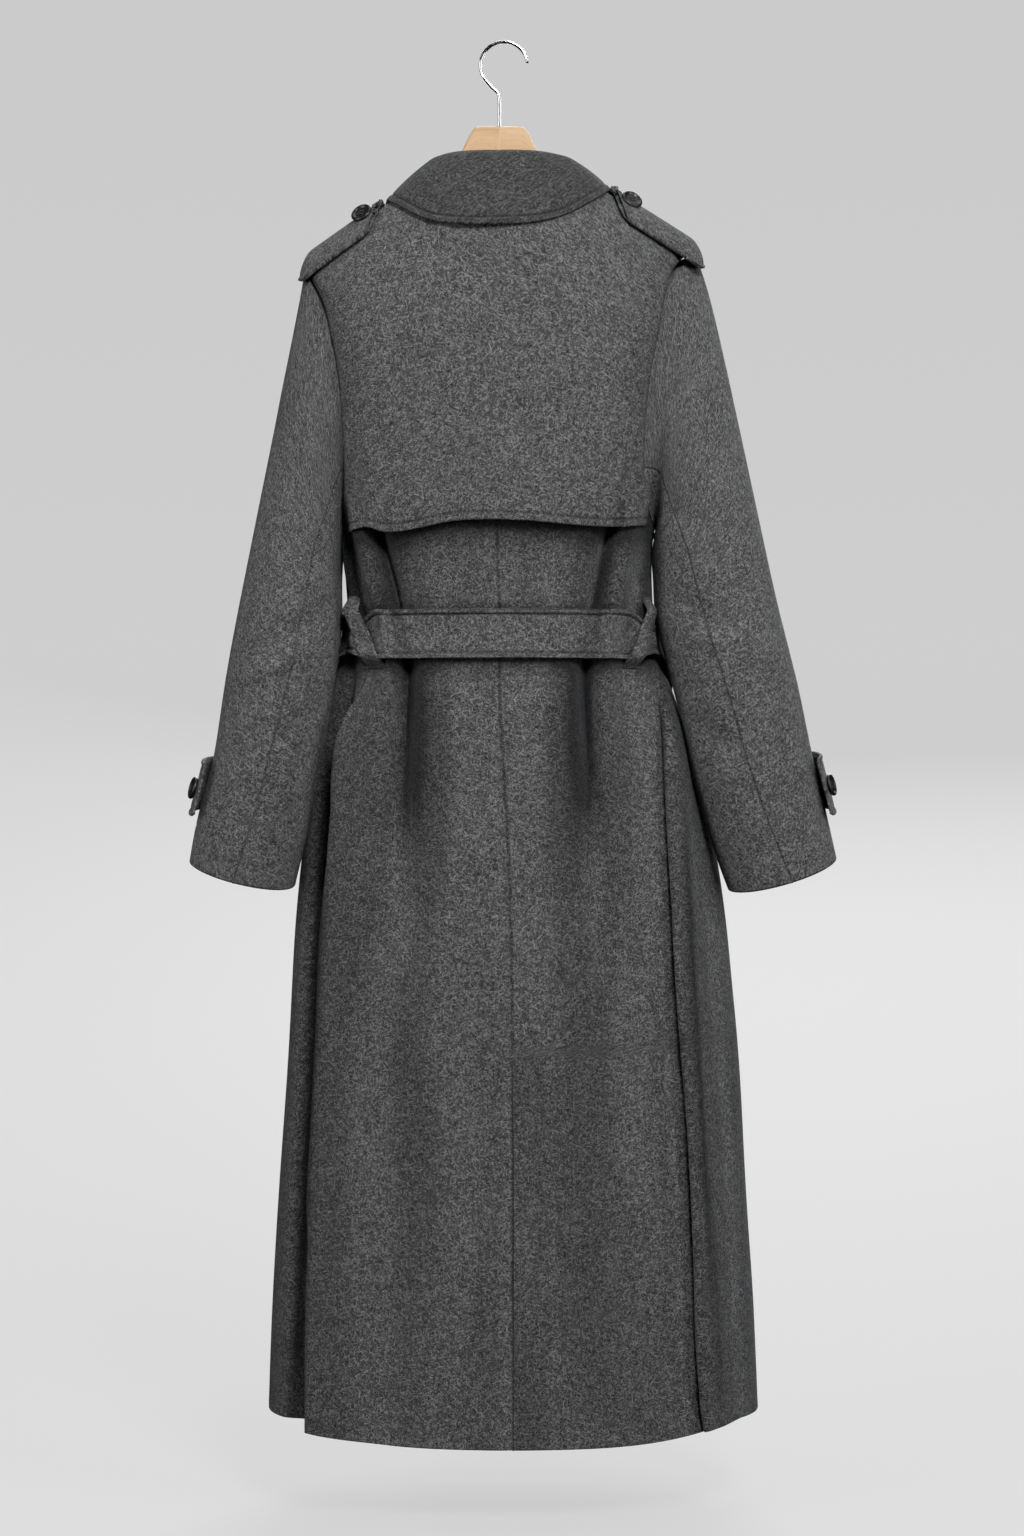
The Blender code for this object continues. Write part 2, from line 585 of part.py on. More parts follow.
def belt_drop(angle):
    """How far the belt's middle hangs below the waist on its way to the knot in front."""
    return BELT_DROOP * ramp((angle - np.radians(78)) / np.radians(75))


def belt_point(side, angle, v, lift):
    z = BELT_Z + BELT_WIDTH * (v - 0.5) - belt_drop(angle)
    return body(side, angle, z, lift + front_layer(RIGHT, angle), taut=True)


def belt():
    split = {side: np.radians(LOOP_ANGLE[side] + 7) for side in (LEFT, RIGHT)}

    def back(u, v):
        points = [belt_point(side, np.abs(2 * u - 1) * split[side], v, BELT_LIFT) for side in (LEFT, RIGHT)]
        return np.where((u < 0.5)[:, None], points[0], points[1])

    cloth("belt_back", back, 16, 1, wall=BELT_WALL)
    for side in (LEFT, RIGHT):
        def front(u, v, side=side):
            start, end = split[side] + 0.014, np.pi - np.arcsin(KNOT_HALF / 178)
            return belt_point(side, start + (end - start) * u, v, BELT_LIFT + 2.5 * ramp(u / 0.3))

        def loop(u, v, side=side):
            arch = ramp(v / 0.22) * ramp((1 - v) / 0.22)
            angle = np.radians(LOOP_ANGLE[side]) + (u - 0.5) * LOOP_WIDTH / 110 + LOOP_SLANT * (v - 0.5)
            return body(side, angle, BELT_Z + LOOP_HEIGHT * (v - 0.5), 2.6 + LOOP_RISE * arch)

        cloth("belt_" + side_name(side), front, 11, 1, wall=BELT_WALL, flip=side == LEFT)
        cloth("belt_loop_" + side_name(side), loop, 1, 8, flip=side == LEFT)


def knot_centre():
    z = BELT_Z - BELT_DROOP
    return np.array([column(BODY, "centre", z), column(BODY, "front", z) + FRONT_LAYER + KNOT_DEPTH / 2 + 0.5, z])


def belt_knot():
    """Knot as a rounded block, with two ends hanging from under it."""
    bm = bmesh.new()
    bmesh.ops.create_uvsphere(bm, u_segments=12, v_segments=7, radius=0.5 * MM)
    middle = knot_centre() * MM
    for vert in bm.verts:
        x, y, z = vert.co
        vert.co = (x * 2 * KNOT_HALF * 0.96 + middle[0], y * KNOT_DEPTH + middle[1],
                   z * KNOT_HEIGHT + middle[2])
    mesh = bpy.data.meshes.new("belt_knot")
    bm.to_mesh(mesh)
    bm.free()
    mesh.shade_smooth()
    add_object("belt_knot", mesh, CLOTH)
    for name, lean, length, start_x, lift in BELT_ENDS:
        def end(u, v, lean=lean, length=length, start_x=start_x, lift=lift):
            centre_x, _y, knot_z = knot_centre()
            width = BELT_WIDTH * (0.62 + 0.38 * ramp(v / 0.22))
            x = centre_x + start_x + lean * v + (u - 0.5) * width
            z = knot_z - KNOT_HEIGHT / 2 + 1.6 - length * v - 10.0 * (1 - np.abs(2 * u - 1)) * (v > 0.99)
            half, centre = column(BODY, "half", z), column(BODY, "centre", z)
            angle = np.pi - np.arcsin((x - centre) / half)
            return body(RIGHT, angle, z, FRONT_LAYER + lift)

        cloth(name, end, 2, 7, wall=BELT_WALL)


def button(name, place, facing, radius=BUTTON_RADIUS):
    """Round button with a raised rim, turned to face along the given way."""
    profile = ((0.0, 0.30), (0.55, 0.30), (0.68, 0.42), (0.88, 0.45), (1.0, 0.25), (1.0, 0.0), (0.85, -0.02),
               (0.0, -0.02))
    mesh = bpy.data.meshes.new(name)
    bm = bmesh.new()
    verts = [bm.verts.new((r * radius * MM, 0, h * BUTTON_THICK * 2 * MM)) for r, h in profile]
    edges = [bm.edges.new(pair) for pair in zip(verts, verts[1:])]
    bmesh.ops.spin(bm, geom=verts + edges, cent=(0, 0, 0), axis=(0, 0, 1), angle=np.pi * 2, steps=14)
    bmesh.ops.remove_doubles(bm, verts=bm.verts[:], dist=0.01 * MM)
    bmesh.ops.dissolve_degenerate(bm, edges=bm.edges[:], dist=0.005 * MM)
    bmesh.ops.recalc_face_normals(bm, faces=bm.faces[:])
    bm.to_mesh(mesh)
    bm.free()
    made = add_object(name, mesh, HORN)
    made.location = Vector(place) * MM
    made.rotation_mode = "QUATERNION"
    made.rotation_quaternion = Vector(facing).to_track_quat("Z", "Y")


def surface_frame(points):
    """Place and outward way of a surface from three of its points: here, one step along, one step across."""
    here, along, across = points
    facing = np.cross(along - here, across - here)
    return here, facing / np.linalg.norm(facing)


def buttons():
    for side in (LEFT, RIGHT):
        inner = STRAP_ENDS[side][0]
        along = np.array([inner + BUTTON_FROM_END, inner + BUTTON_FROM_END + 2, inner + BUTTON_FROM_END])
        points = shoulder_strap_point(side, along, np.array([0.42, 0.42, 0.46]), STRAP_LIFT)
        here, facing = surface_frame(points)
        facing = facing * np.sign(facing[2])
        button("shoulder_button_" + side_name(side), here + facing * 0.6, facing)
        turn = np.radians(np.array([CUFF_BUTTON_TURN, CUFF_BUTTON_TURN + 2, CUFF_BUTTON_TURN]))
        base = sleeve_point(side, turn, np.array([CUFF_STRAP_PLACE] * 2 + [CUFF_STRAP_PLACE + 0.01]))
        part = (CUFF_BUTTON_TURN - CUFF_STRAP_START) / (CUFF_STRAP_END - CUFF_STRAP_START)
        lift = CUFF_STRAP_LIFT + CUFF_STRAP_STANDS_OFF * (1 - ramp(part / 0.35))
        out = np.array([side * np.cos(turn[0]), -np.sin(turn[0]), 0.0])
        here, facing = surface_frame(base)
        facing = facing * np.sign(facing[0] * side)
        button("cuff_button_" + side_name(side), here + out * lift + facing * 1.0, facing)
        for row, (z, stand_off) in enumerate(FRONT_BUTTON_ROWS, 1):
            centre, half = column(BODY, "centre", z), column(BODY, "half", z)
            across = FRONT_BUTTON_ACROSS * side
            angle = np.pi - np.arcsin(across / half)
            points = body(RIGHT, np.array([angle, angle + 0.01, angle]), np.array([z, z, z + 2.0]), FRONT_LAYER)
            here, facing = surface_frame(points)
            facing = facing * np.sign(facing[1])
            button(f"front_button_{side_name(side)}_{row}", here + facing * stand_off, facing, 13.0)


def hanger():
    """Two mitred wooden halves in the shoulders and a wire hook."""
    for side in (LEFT, RIGHT):
        start = WOOD_CENTRE_X + side * 0.15
        reach = np.linspace(0, 1, 15)
        span = WOOD_REACH[side]
        x = start + side * span * reach
        reach_x = np.abs(x - WOOD_CENTRE_X)
        top = spline([0, 23, 33, 45, 74, 96], [HEAD_TOP_Z, HEAD_TOP_Z - 0.5, -99, -121, -149, -160.5], reach_x)
        clear = shoulder_z(side, x) - 7.6
        top = np.where(np.abs(x) > 96, clear, np.where(np.abs(x) > 60, np.minimum(top, clear), top))
        deep = spline([0, 40, 90, 200], [46, 40, 33, 24], reach_x)
        curve = bpy.data.curves.new("hanger_" + side_name(side), "CURVE")
        curve.dimensions = "2D"
        curve.fill_mode = "BOTH"
        curve.extrude = WOOD_THICK / 2 * MM
        outline = [(a, b) for a, b in zip(x, top)] + [(a, b) for a, b in zip(x[::-1], (top - deep)[::-1])]
        line = curve.splines.new("POLY")
        line.points.add(len(outline) - 1)
        for point, (a, b) in zip(line.points, outline):
            point.co = (a * MM, b * MM, 0, 1)
        line.use_cyclic_u = True
        made = add_object("hanger_" + side_name(side), curve, WOOD)
        made.rotation_euler = (np.pi / 2, 0, 0)
    turn = np.radians(np.linspace(HOOK_TIP, HOOK_END, 22))
    route = [(HOOK_RADIUS * np.cos(a), HOOK_CENTRE_Z + HOOK_RADIUS * np.sin(a)) for a in turn]
    end_x, end_z = route[-1]
    bend = np.linspace(0, 1, 9)[1:]
    knots = np.array([(end_x, end_z), (-12.5, -43.5), (-6.2, -49.5), (WOOD_CENTRE_X, -58.0), (WOOD_CENTRE_X, -70.0)])
    route += [tuple(p) for p in spline(np.linspace(0, 1, 5), knots, bend)]
    route.append((WOOD_CENTRE_X, HEAD_TOP_Z + 0.6))
    curve = bpy.data.curves.new("hanger_hook", "CURVE")
    curve.dimensions = "3D"
    curve.bevel_depth = HOOK_WIRE / 2 * MM
    curve.bevel_resolution = 2
    curve.use_fill_caps = True
    line = curve.splines.new("POLY")
    line.points.add(len(route) - 1)
    for point, (a, b) in zip(line.points, route):
        point.co = (a * MM, 0, b * MM, 1)
    add_object("hanger_hook", curve, STEEL)


def build():
    clear_scene()
    panels()
    storm_flap()
    sleeves()
    collar()
    lapels()
    shoulder_straps()
    cuff_straps()
    belt()
    belt_knot()
    buttons()
    hanger()


build()
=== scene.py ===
"""Looks of a long belted trench coat of grey wool melange on a beech hanger, seen from its back.

Shapes are worked out in millimetres in the frame's own axes: +Z up, the back of the coat faces -Y, the
wearer's left side is at -X, and the origin is the inside top of the hook. MM turns them into metres.
"""
from collections import namedtuple

import bpy
import numpy as np
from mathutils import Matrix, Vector


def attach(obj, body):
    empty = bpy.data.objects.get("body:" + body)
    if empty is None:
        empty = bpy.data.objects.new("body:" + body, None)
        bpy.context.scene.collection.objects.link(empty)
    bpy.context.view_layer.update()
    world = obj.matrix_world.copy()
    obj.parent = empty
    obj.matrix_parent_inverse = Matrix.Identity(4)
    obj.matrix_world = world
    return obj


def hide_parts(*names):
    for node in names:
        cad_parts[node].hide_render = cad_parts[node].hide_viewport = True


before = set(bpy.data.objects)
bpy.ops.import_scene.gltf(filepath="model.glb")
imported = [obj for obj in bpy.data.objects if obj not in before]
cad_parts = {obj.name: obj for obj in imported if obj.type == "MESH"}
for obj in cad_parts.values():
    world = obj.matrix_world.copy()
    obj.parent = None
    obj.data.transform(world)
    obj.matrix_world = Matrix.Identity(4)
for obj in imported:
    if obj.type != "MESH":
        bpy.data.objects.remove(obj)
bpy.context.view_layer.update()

bl_info = {
    "name": "Trench coat looks",
    "version": (1, 0, 0),
    "blender": (4, 5, 0),
    "location": "3D View > Sidebar > Coat",
    "description": "Builds the cloth, stitching, buttons, hanger and stage of a trench coat on its CAD frame",
    "category": "Add Mesh",
}

MM = 0.001
WALL = 2.0                 # cloth thickness
SEAM = 0.4                 # half of the gap left between the outer faces of two pieces at a seam
ARM_GAP = 1.9              # the same at the armhole, where three pieces meet
LEFT = -1
RIGHT = 1

# ---- body of the coat: one row for each height ------------------------------------------------
Section = namedtuple("Section", "z centre half back front")
BODY = (
    Section(-1390, 9.5, 243, 132, 128),
    Section(-1257, 9.0, 238, 129, 126),
    Section(-1128, 9.0, 230, 126, 122),
    Section(-957, 8.3, 219, 120, 116),
    Section(-872, 7.0, 212, 115, 112),
    Section(-790, 4.0, 201, 109, 107),
    Section(-700, -2.0, 182, 102, 101),
    Section(-645, -4.0, 168, 95, 95),
    Section(-618, -4.0, 156, 89, 88),
    Section(-594, -3.0, 150, 86, 85),
    Section(-565, -4.0, 150, 86, 86),
    Section(-520, -6.0, 151, 88, 90),
    Section(-490, -6.0, 153.5, 89, 92),
    Section(-465, -5.0, 162, 90, 93),
    Section(-400, -3.0, 183, 89, 92),
    Section(-300, 0.0, 202, 86, 84),
    Section(-200, 0.0, 208, 80, 72),
    Section(-100, 0.0, 208, 74, 60),
)
FLATNESS = 0.85            # below 1, the section is flatter at the back and front than an ellipse
CROWN_DEPTH = 170.0        # how far below the shoulder line the body reaches its full depth
HEM_BACK, HEM_SIDE, HEM_FRONT = -1377.0, -1361.0, -1373.0
SIDE_SPLIT = 92.0          # angle of the side seam from the centre back, in degrees
UNDERARM_Z = -482.0

# shoulder line and neck, one row for each side
Shoulder = namedtuple("Shoulder", "neck_x neck_z point_x point_z")
SHOULDERS = {
    LEFT: Shoulder(74, -137, 199, -223),
    RIGHT: Shoulder(74, -137, 192, -210),
}
NECK_BACK_Z = -148.0

# armhole seam: distance from the middle plane at each height
Arm = namedtuple("Arm", "z left right")
ARMHOLE = (
    Arm(-490, 159.4, 147.4),
    Arm(-482, 158.6, 146.0),
    Arm(-465, 156.0, 139.0),
    Arm(-400, 155.0, 134.5),
    Arm(-360, 158.0, 138.5),
    Arm(-315, 166.0, 147.5),
    Arm(-272, 177.5, 157.0),
    Arm(-245, 189.5, 165.5),
    Arm(-225, 197.0, 178.0),
    Arm(-205, 203.0, 193.0),
)
FRONT_ARM_INSET = 4.0      # the front armhole is cut this much deeper

# folds of the body: a ridge of cloth whose crest runs between two heights, and may lean over
Fold = namedtuple("Fold", "side face path before after height lean top bottom")
BACK, FRONT = 0, 1
LEFT_EDGE = ((-640, 143), (-702, 157), (-779, 163), (-868, 170), (-1056, 181), (-1181, 184), (-1390, 187))
RIGHT_EDGE = ((-625, 144), (-689, 154), (-757, 160), (-846, 166), (-935, 170), (-1056, 179.5),
              (-1180, 186.5), (-1336, 193.5), (-1390, 200))
FOLDS = (
    # back panel's edge on the left, which covers the start of the side, and the hollow behind it
    Fold(LEFT, BACK, tuple((z, x + 6) for z, x in LEFT_EDGE), 60, 9, 11, 18, -612, -1900),
    Fold(LEFT, BACK, tuple((z, x - 9) for z, x in LEFT_EDGE), 11, 37, -24, 0, -620, -1900),
    # side panel folded over the back on the right
    Fold(RIGHT, BACK, RIGHT_EDGE, 12, 40, 12, -20, -612, -1900),
    # ridges that spread from the belt, below and above it
    Fold(LEFT, BACK, ((-600, 108), (-720, 112), (-1000, 120)), 24, 52, 8, -4, -590, -1050),
    Fold(RIGHT, BACK, ((-600, 98), (-720, 102), (-1000, 110)), 24, 54, 8, -4, -590, -1020),
    Fold(LEFT, BACK, ((-480, 143), (-590, 114)), 13, 16, 13, -7, -440, -800),
    Fold(LEFT, BACK, ((-480, 162), (-590, 139)), 9, 14, 8, -4, -460, -800),
    Fold(RIGHT, BACK, ((-480, 123), (-590, 100)), 13, 22, 13, -7, -440, -800),
    # hollows that the belt draws in beside those ridges
    Fold(LEFT, BACK, ((-578, 85), (-720, 88), (-1000, 98)), 30, 17, -20, 0, -578, -900),
    Fold(RIGHT, BACK, ((-578, 75), (-720, 78), (-1000, 87)), 30, 17, -20, 0, -578, -880),
    Fold(LEFT, BACK, ((-480, 122), (-590, 95)), 28, 14, -16, 0, -400, -800),
    Fold(RIGHT, BACK, ((-480, 103), (-590, 82)), 28, 14, -16, 0, -400, -800),
    # soft ridges of the front skirt below the belt
    Fold(LEFT, FRONT, ((-640, 118), (-900, 140), (-1390, 158)), 44, 30, 11, 6, -625, -2000),
    Fold(RIGHT, FRONT, ((-640, 112), (-900, 128), (-1390, 150)), 40, 34, 11, -6, -625, -2000),
)
FADE = 90.0                # length over which a fold grows; it dies away over three times that

# ---- sleeves: one row for each ring, from just outside the armhole to the cuff ------------------
Ring = namedtuple("Ring", "outer_x outer_z inner_x inner_z back front bow tilt")
SLEEVES = {
    LEFT: (
        Ring(205.5, -262, 161, -487, -60, 60, 14, 0),
        Ring(223.5, -359, 161, -509, -70, 54, 8, 0),
        Ring(242.3, -458, 161, -535, -77, 45, 2, 1),
        Ring(260.2, -557, 160.5, -585, -87, 33, 0, 3),
        Ring(274.1, -637, 170, -661, -95, 16, 0, 5),
        Ring(286.4, -712, 185, -735, -97, 9, 0, 7),
        Ring(300.6, -769, 194.5, -794, -96, 5, 0, 8),
        Ring(309.1, -816, 205.4, -841, -94, 3, 0, 9),
    ),
    RIGHT: (
        Ring(206.5, -260, 151, -487, -58, 58, 16, 0),
        Ring(228.5, -359, 148, -510, -70, 53, 10, 0),
        Ring(249.4, -458, 148.5, -538, -80, 42, 2, 1),
        Ring(270.2, -557, 152, -588, -90, 30, 0, 3),
        Ring(288.1, -637, 171, -665, -97, 15, 0, 5),
        Ring(302.3, -707, 186, -735, -99, 8, 0, 7),
        Ring(317.6, -768, 205, -799, -98, 4, 0, 8),
        Ring(327.2, -813, 221.4, -844, -95, 3, 0, 9),
    ),
}
# the sleeve's back seam, as an angle from the outer line in degrees, at the armhole and at the cuff
BACK_SEAM = (128.0, 84.0)
FRONT_SEAM = (108.0, 62.0)

# ---- collar: one row for each place around the neck, from the left front to the right front -----
CollarPlace = namedtuple("CollarPlace", "roll_x roll_y roll_z edge_x edge_y edge_z foot_x foot_y foot_z")
COLLAR = (
    CollarPlace(-51, 60, -172, -112, 76, -208, -47, 54, -186),
    CollarPlace(-67, 33, -131, -121, 42, -194, -67, 22, -144),
    CollarPlace(-73, 4, -122, -119, 6, -159.5, -72, 0, -134),
    CollarPlace(-66, -26, -116.5, -109, -35, -167, -66, -24, -134),
    CollarPlace(-42, -42, -114.5, -70, -70, -190, -42, -45, -139.5),
    CollarPlace(-4, -48, -114.5, -8, -87, -196, -4, -58, -145.5),
    CollarPlace(34, -43, -114.5, 52, -72, -187.5, 38, -47, -140),
    CollarPlace(60, -27, -117, 97, -38, -159.5, 66, -24, -134),
    CollarPlace(69, 4, -122, 108, 6, -148, 72, 0, -134),
    CollarPlace(65, 33, -131, 115, 44, -182, 67, 22, -144),
    CollarPlace(51, 60, -172, 110, 76, -204, 47, 54, -186),
)
COLLAR_RISE = 3.5          # how far the fall arches out between its roll and its edge

# ---- front opening --------------------------------------------------------------------------
BREAK_Z = -452.0           # height at which the lapels start to fold back
OVERLAP = 78.0             # how far each front passes the centre front
FRONT_LAYER = 5.5          # step between the two fronts where they overlap

# ---- belt -----------------------------------------------------------------------------------
BELT_Z = -594.0
BELT_WIDTH = 48.0
BELT_LIFT = 5.4
BELT_WALL = 3.0
LOOP_ANGLE = {LEFT: 62.0, RIGHT: 66.0}

# ---- storm flap -----------------------------------------------------------------------------
FLAP_LIFT_TOP, FLAP_LIFT_EDGE = 5.2, 8.5
FLAP_ARM_Z = -462.0         # below this the side edge of the flap hangs straight down
FLAP_EDGE = ((-157, -494), (-139, -492), (-124, -489.5), (-116, -493.5), (-99, -495), (-80, -492),
             (-50, -486), (-14, -484.5), (20.6, -485.5), (59, -488.5), (99.5, -490), (140, -486))

# ---- hanger ---------------------------------------------------------------------------------
WOOD_THICK = 13.0
HEAD_TOP_Z = -84.0
HOOK_WIRE, HOOK_RADIUS = 3.4, 23.5
HOOK_CENTRE_Z = HOOK_WIRE / 2 - HOOK_RADIUS
HOOK_TIP, HOOK_END = 9.0, 217.0    # the hook's arc, in degrees from its open side over the top
WOOD_CENTRE_X = -4.5
WOOD_REACH = {LEFT: 180.0, RIGHT: 178.0}

# ---- straps, lapels and buttons ---------------------------------------------------------------
LAPEL_LIFT = {LEFT: 4.8, RIGHT: 6.9}
LAPEL_LEFT_BOTTOM, LAPEL_RIGHT_BOTTOM, LAPEL_TOP, LAPEL_PEAK = -318.0, -436.0, -216.0, 124.0
STRAP_ENDS = {LEFT: (122.0, 203.0), RIGHT: (108.0, 198.0)}     # shoulder strap, inner and outer end
STRAP_DROP_BACK, STRAP_DROP_FRONT, STRAP_LIFT = 29.0, 15.0, 9.6
CUFF_STRAP_START, CUFF_STRAP_END = 30.0, -140.0     # around the sleeve, in degrees from its outer line
CUFF_STRAP_PLACE, CUFF_STRAP_SPAN = 6.5 / 8, 0.95 / 8
CUFF_STRAP_LIFT, CUFF_STRAP_STANDS_OFF = 3.3, 8.5
CUFF_BUTTON_TURN = 15.0
BUTTON_RADIUS, FRONT_BUTTON_RADIUS, BUTTON_FROM_END = 11.0, 13.0, 14.0
FRONT_BUTTON_ROWS = ((-472.0, 0.9), (-596.0, 1.7), (-850.0, 0.9))   # height, stand-off
FRONT_BUTTON_ACROSS = 62.0
LOOP_WIDTH, LOOP_HEIGHT, LOOP_RISE = 12.0, 80.0, 8.6
LOOP_SLANT = 0.24           # turn of a loop's top away from the centre back, in radians
BELT_DROOP = 112.0
KNOT_HALF, KNOT_HEIGHT, KNOT_DEPTH = 29.0, 50.0, 26.0
BELT_ENDS = (("belt_end_left", -8.0, 330.0, -9.0, 3.6), ("belt_end_right", 14.0, 370.0, 9.0, 7.2))


# ---- stage, in metres -------------------------------------------------------------------------
FLOOR_Z = -1.455
STUDIO_FLAT, STUDIO_BEND = 1.6, 5.9         # radius of the level floor, and of the bend that becomes the wall
AIM = (0.0, 0.0, -0.7)
Lamp = namedtuple("Lamp", "name place size power share")
LAMPS = (
    Lamp("key", (0.8, -2.9, 1.5), (1.1, 1.1), "key_power", 1.0),
    Lamp("right", (2.9, -1.9, 0.1), (1.2, 2.4), "fill_power", 1.0),
    Lamp("left", (-2.9, -1.7, 0.1), (1.2, 2.4), "fill_power", 1.0),
    Lamp("top", (0.2, 0.4, 2.4), (2.4, 2.4), "top_power", 1.0),
    Lamp("front", (0.6, 3.4, 1.2), (2.6, 2.6), "key_power", 1.8),
)
CAMERA_PLACE, CAMERA_WAY = (0.008, -3.0, -0.7245), 3.0
SENSOR_MM, FRAME_HEIGHT = 36.0, 1.536       # the frame is this high at the coat


# ---- mathematics ------------------------------------------------------------------------------
def spline(knots, values, at):
    """Smooth curve through the knots: each stretch is a cubic whose end slopes come from its neighbours."""
    knots = np.asarray(knots, float)
    values = np.asarray(values, float)
    at = np.clip(np.asarray(at, float), knots[0], knots[-1])
    slopes = np.gradient(values, knots, axis=0)
    i = np.clip(np.searchsorted(knots, at, side="right") - 1, 0, len(knots) - 2)
    span = knots[i + 1] - knots[i]
    t = (at - knots[i]) / span
    if values.ndim > 1:
        t, span = t[..., None], span[..., None]
    start = (1 + 2 * t) * (1 - t) ** 2 * values[i] + t * (1 - t) ** 2 * span * slopes[i]
    return start + t * t * (3 - 2 * t) * values[i + 1] + t * t * (t - 1) * span * slopes[i + 1]


def ramp(t):
    """Smooth step from 0 to 1 while t goes from 0 to 1."""
    t = np.clip(t, 0.0, 1.0)
    return t * t * (3 - 2 * t)


def column(table, name, z):
    """Value of one column of a table at a height."""
    return spline([row.z for row in table], [getattr(row, name) for row in table], z)


def shoulder_z(side, x):
    """Height of the shoulder line at a distance x from the middle plane."""
    s = SHOULDERS[side]
    slope = (s.point_z - s.neck_z) / (s.point_x - s.neck_x)
    return s.neck_z + (np.abs(x) - s.neck_x) * slope


def top_z(side, x):
    """Top edge of the body: the neck curve in the middle and the shoulder line beyond it."""
    s = SHOULDERS[side]
    x = np.abs(x)
    neck = NECK_BACK_Z + (s.neck_z - NECK_BACK_Z) * (x / s.neck_x) ** 2
    return np.where(x < s.neck_x, neck, shoulder_z(side, x))


def section(side, angle, z):
    """Plan section: a flattened ellipse, squeezed to nothing at the shoulder line."""
    across, along = np.sin(angle), np.cos(angle)
    depth = np.where(along > 0, column(BODY, "back", z), column(BODY, "front", z))
    x = column(BODY, "centre", z) + side * column(BODY, "half", z) * across
    y = -depth * np.sign(along) * np.abs(along) ** FLATNESS
    below = np.clip((shoulder_z(side, x) - z) / CROWN_DEPTH, 0.0, 1.0)
    return x, y * np.sqrt(below) * (1.5 - 0.5 * below)


def body(side, angle, z, lift=0.0, taut=False):
    """Point on the body's outer surface: the section, moved out by its folds and by the lift. A taut cloth
    over it bridges the hollows."""
    angle, z = np.broadcast_arrays(np.asarray(angle, float), np.asarray(z, float))
    x, y = section(side, angle, z)
    ahead_x, ahead_y = section(side, angle + 0.01, z)
    along_x, along_y = ahead_x - x, ahead_y - y
    length = np.maximum(np.hypot(along_x, along_y), 1e-6)
    along_x, along_y = along_x / length, along_y / length
    out_x, out_y = side * along_y, -side * along_x
    centre, half = column(BODY, "centre", z), column(BODY, "half", z)
    depth = column(BODY, "back", z)
    outward = np.asarray(lift, float) + np.zeros_like(x)
    sideways = np.zeros_like(x)
    for fold in FOLDS:
        if fold.side != side or (taut and fold.height < 0):
            continue
        path = sorted(fold.path)
        crest_x = spline([p[0] for p in path], [p[1] for p in path], z)
        crest_x = crest_x - 0.6 * fold.height - 0.8 * fold.lean
        crest = np.arcsin(np.clip((crest_x - side * centre) / half, -0.99, 0.99))
        if fold.face == FRONT:
            crest = np.pi - crest
        speed = np.hypot(half * np.cos(crest), depth * np.sin(crest))
        distance = (angle - crest) * speed
        shape = ramp(1 + distance / fold.before) * ramp(1 - distance / fold.after)
        shape = shape * ramp((fold.top - z) / FADE) * ramp((z - fold.bottom) / (3 * FADE))
        outward = outward + fold.height * shape
        sideways = sideways + fold.lean * shape
    # near the shoulder line the surface turns to face up, and so does the way out of it
    below = np.clip((shoulder_z(side, x) - z) / CROWN_DEPTH, 0.0, 1.0)
    slope = 2.0 * CROWN_DEPTH * np.sqrt(below) / (1.5 * depth)
    level = slope / np.sqrt(1 + slope * slope)
    level = level + (1 - level) * ramp(below)
    rise = np.sqrt(np.maximum(0.0, 1 - level * level)) * outward
    x = x + out_x * outward * level + along_x * sideways
    y = y + out_y * outward * level + along_y * sideways
    return np.stack([x, y, z + rise], axis=-1)


def arm_angle(side, z, front=False):
    """Angle at which the armhole seam crosses the body's section at a height."""
    name = "left" if side == LEFT else "right"
    x = column(ARMHOLE, name, z) - (FRONT_ARM_INSET if front else 0.0)
    centre, half = column(BODY, "centre", z), column(BODY, "half", z)
    angle = np.arcsin(np.clip((x - side * centre) / half, -1.0, 0.999))
    return np.pi - angle if front else angle


def armhole(side, turn):
    """Armhole curve: turn 0 is the shoulder point, +pi/2 its back, pi the underarm, -pi/2 its front."""
    turn = np.asarray(turn, float)
    top = SHOULDERS[side].point_z
    z = top + (UNDERARM_Z - top) * (1 - np.cos(turn)) / 2
    points = [body(side, arm_angle(side, z, front), z) for front in (False, True)]
    return np.where((np.sin(turn) < 0)[..., None], points[1], points[0])


def edge_angle(side, front, z):
    """Outer edge of a panel: the armhole above the underarm, the side seam below it."""
    seam = np.radians(SIDE_SPLIT) + (1 if front else -1) * SEAM / 150
    arm = arm_angle(side, z, front) + (1 if front else -1) * ARM_GAP / 150
    return arm + (seam - arm) * ramp((UNDERARM_Z + 4 - z) / 16.0)


def opening(z):
    """Distance of the front edge from the centre front, on the panel's own side; less than 0 is past it."""
    neck = SHOULDERS[LEFT]
    share = np.clip((z - BREAK_Z) / (neck.neck_z - BREAK_Z), 0.0, 1.0)
    return -OVERLAP + (neck.neck_x + OVERLAP) * share


def front_layer(side, angle):
    """The right front lies over the left one where they overlap."""
    return (FRONT_LAYER if side == RIGHT else 0.0) * ramp((angle - np.radians(115)) / np.radians(40))


def sleeve_ring(side, ring, turn):
    """Ring of the sleeve: an ellipse between its outer and inner points, bowed towards the body."""
    across, along = np.cos(turn), np.sin(turn)
    x = (ring.outer_x + ring.inner_x) / 2 + (ring.outer_x - ring.inner_x) / 2 * across - ring.bow * along ** 2
    y = (ring.back + ring.front) / 2 + (ring.back - ring.front) / 2 * along
    z = (ring.outer_z + ring.inner_z) / 2 + (ring.outer_z - ring.inner_z) / 2 * across - ring.tilt * along
    return np.stack([side * x, y, z], axis=-1)


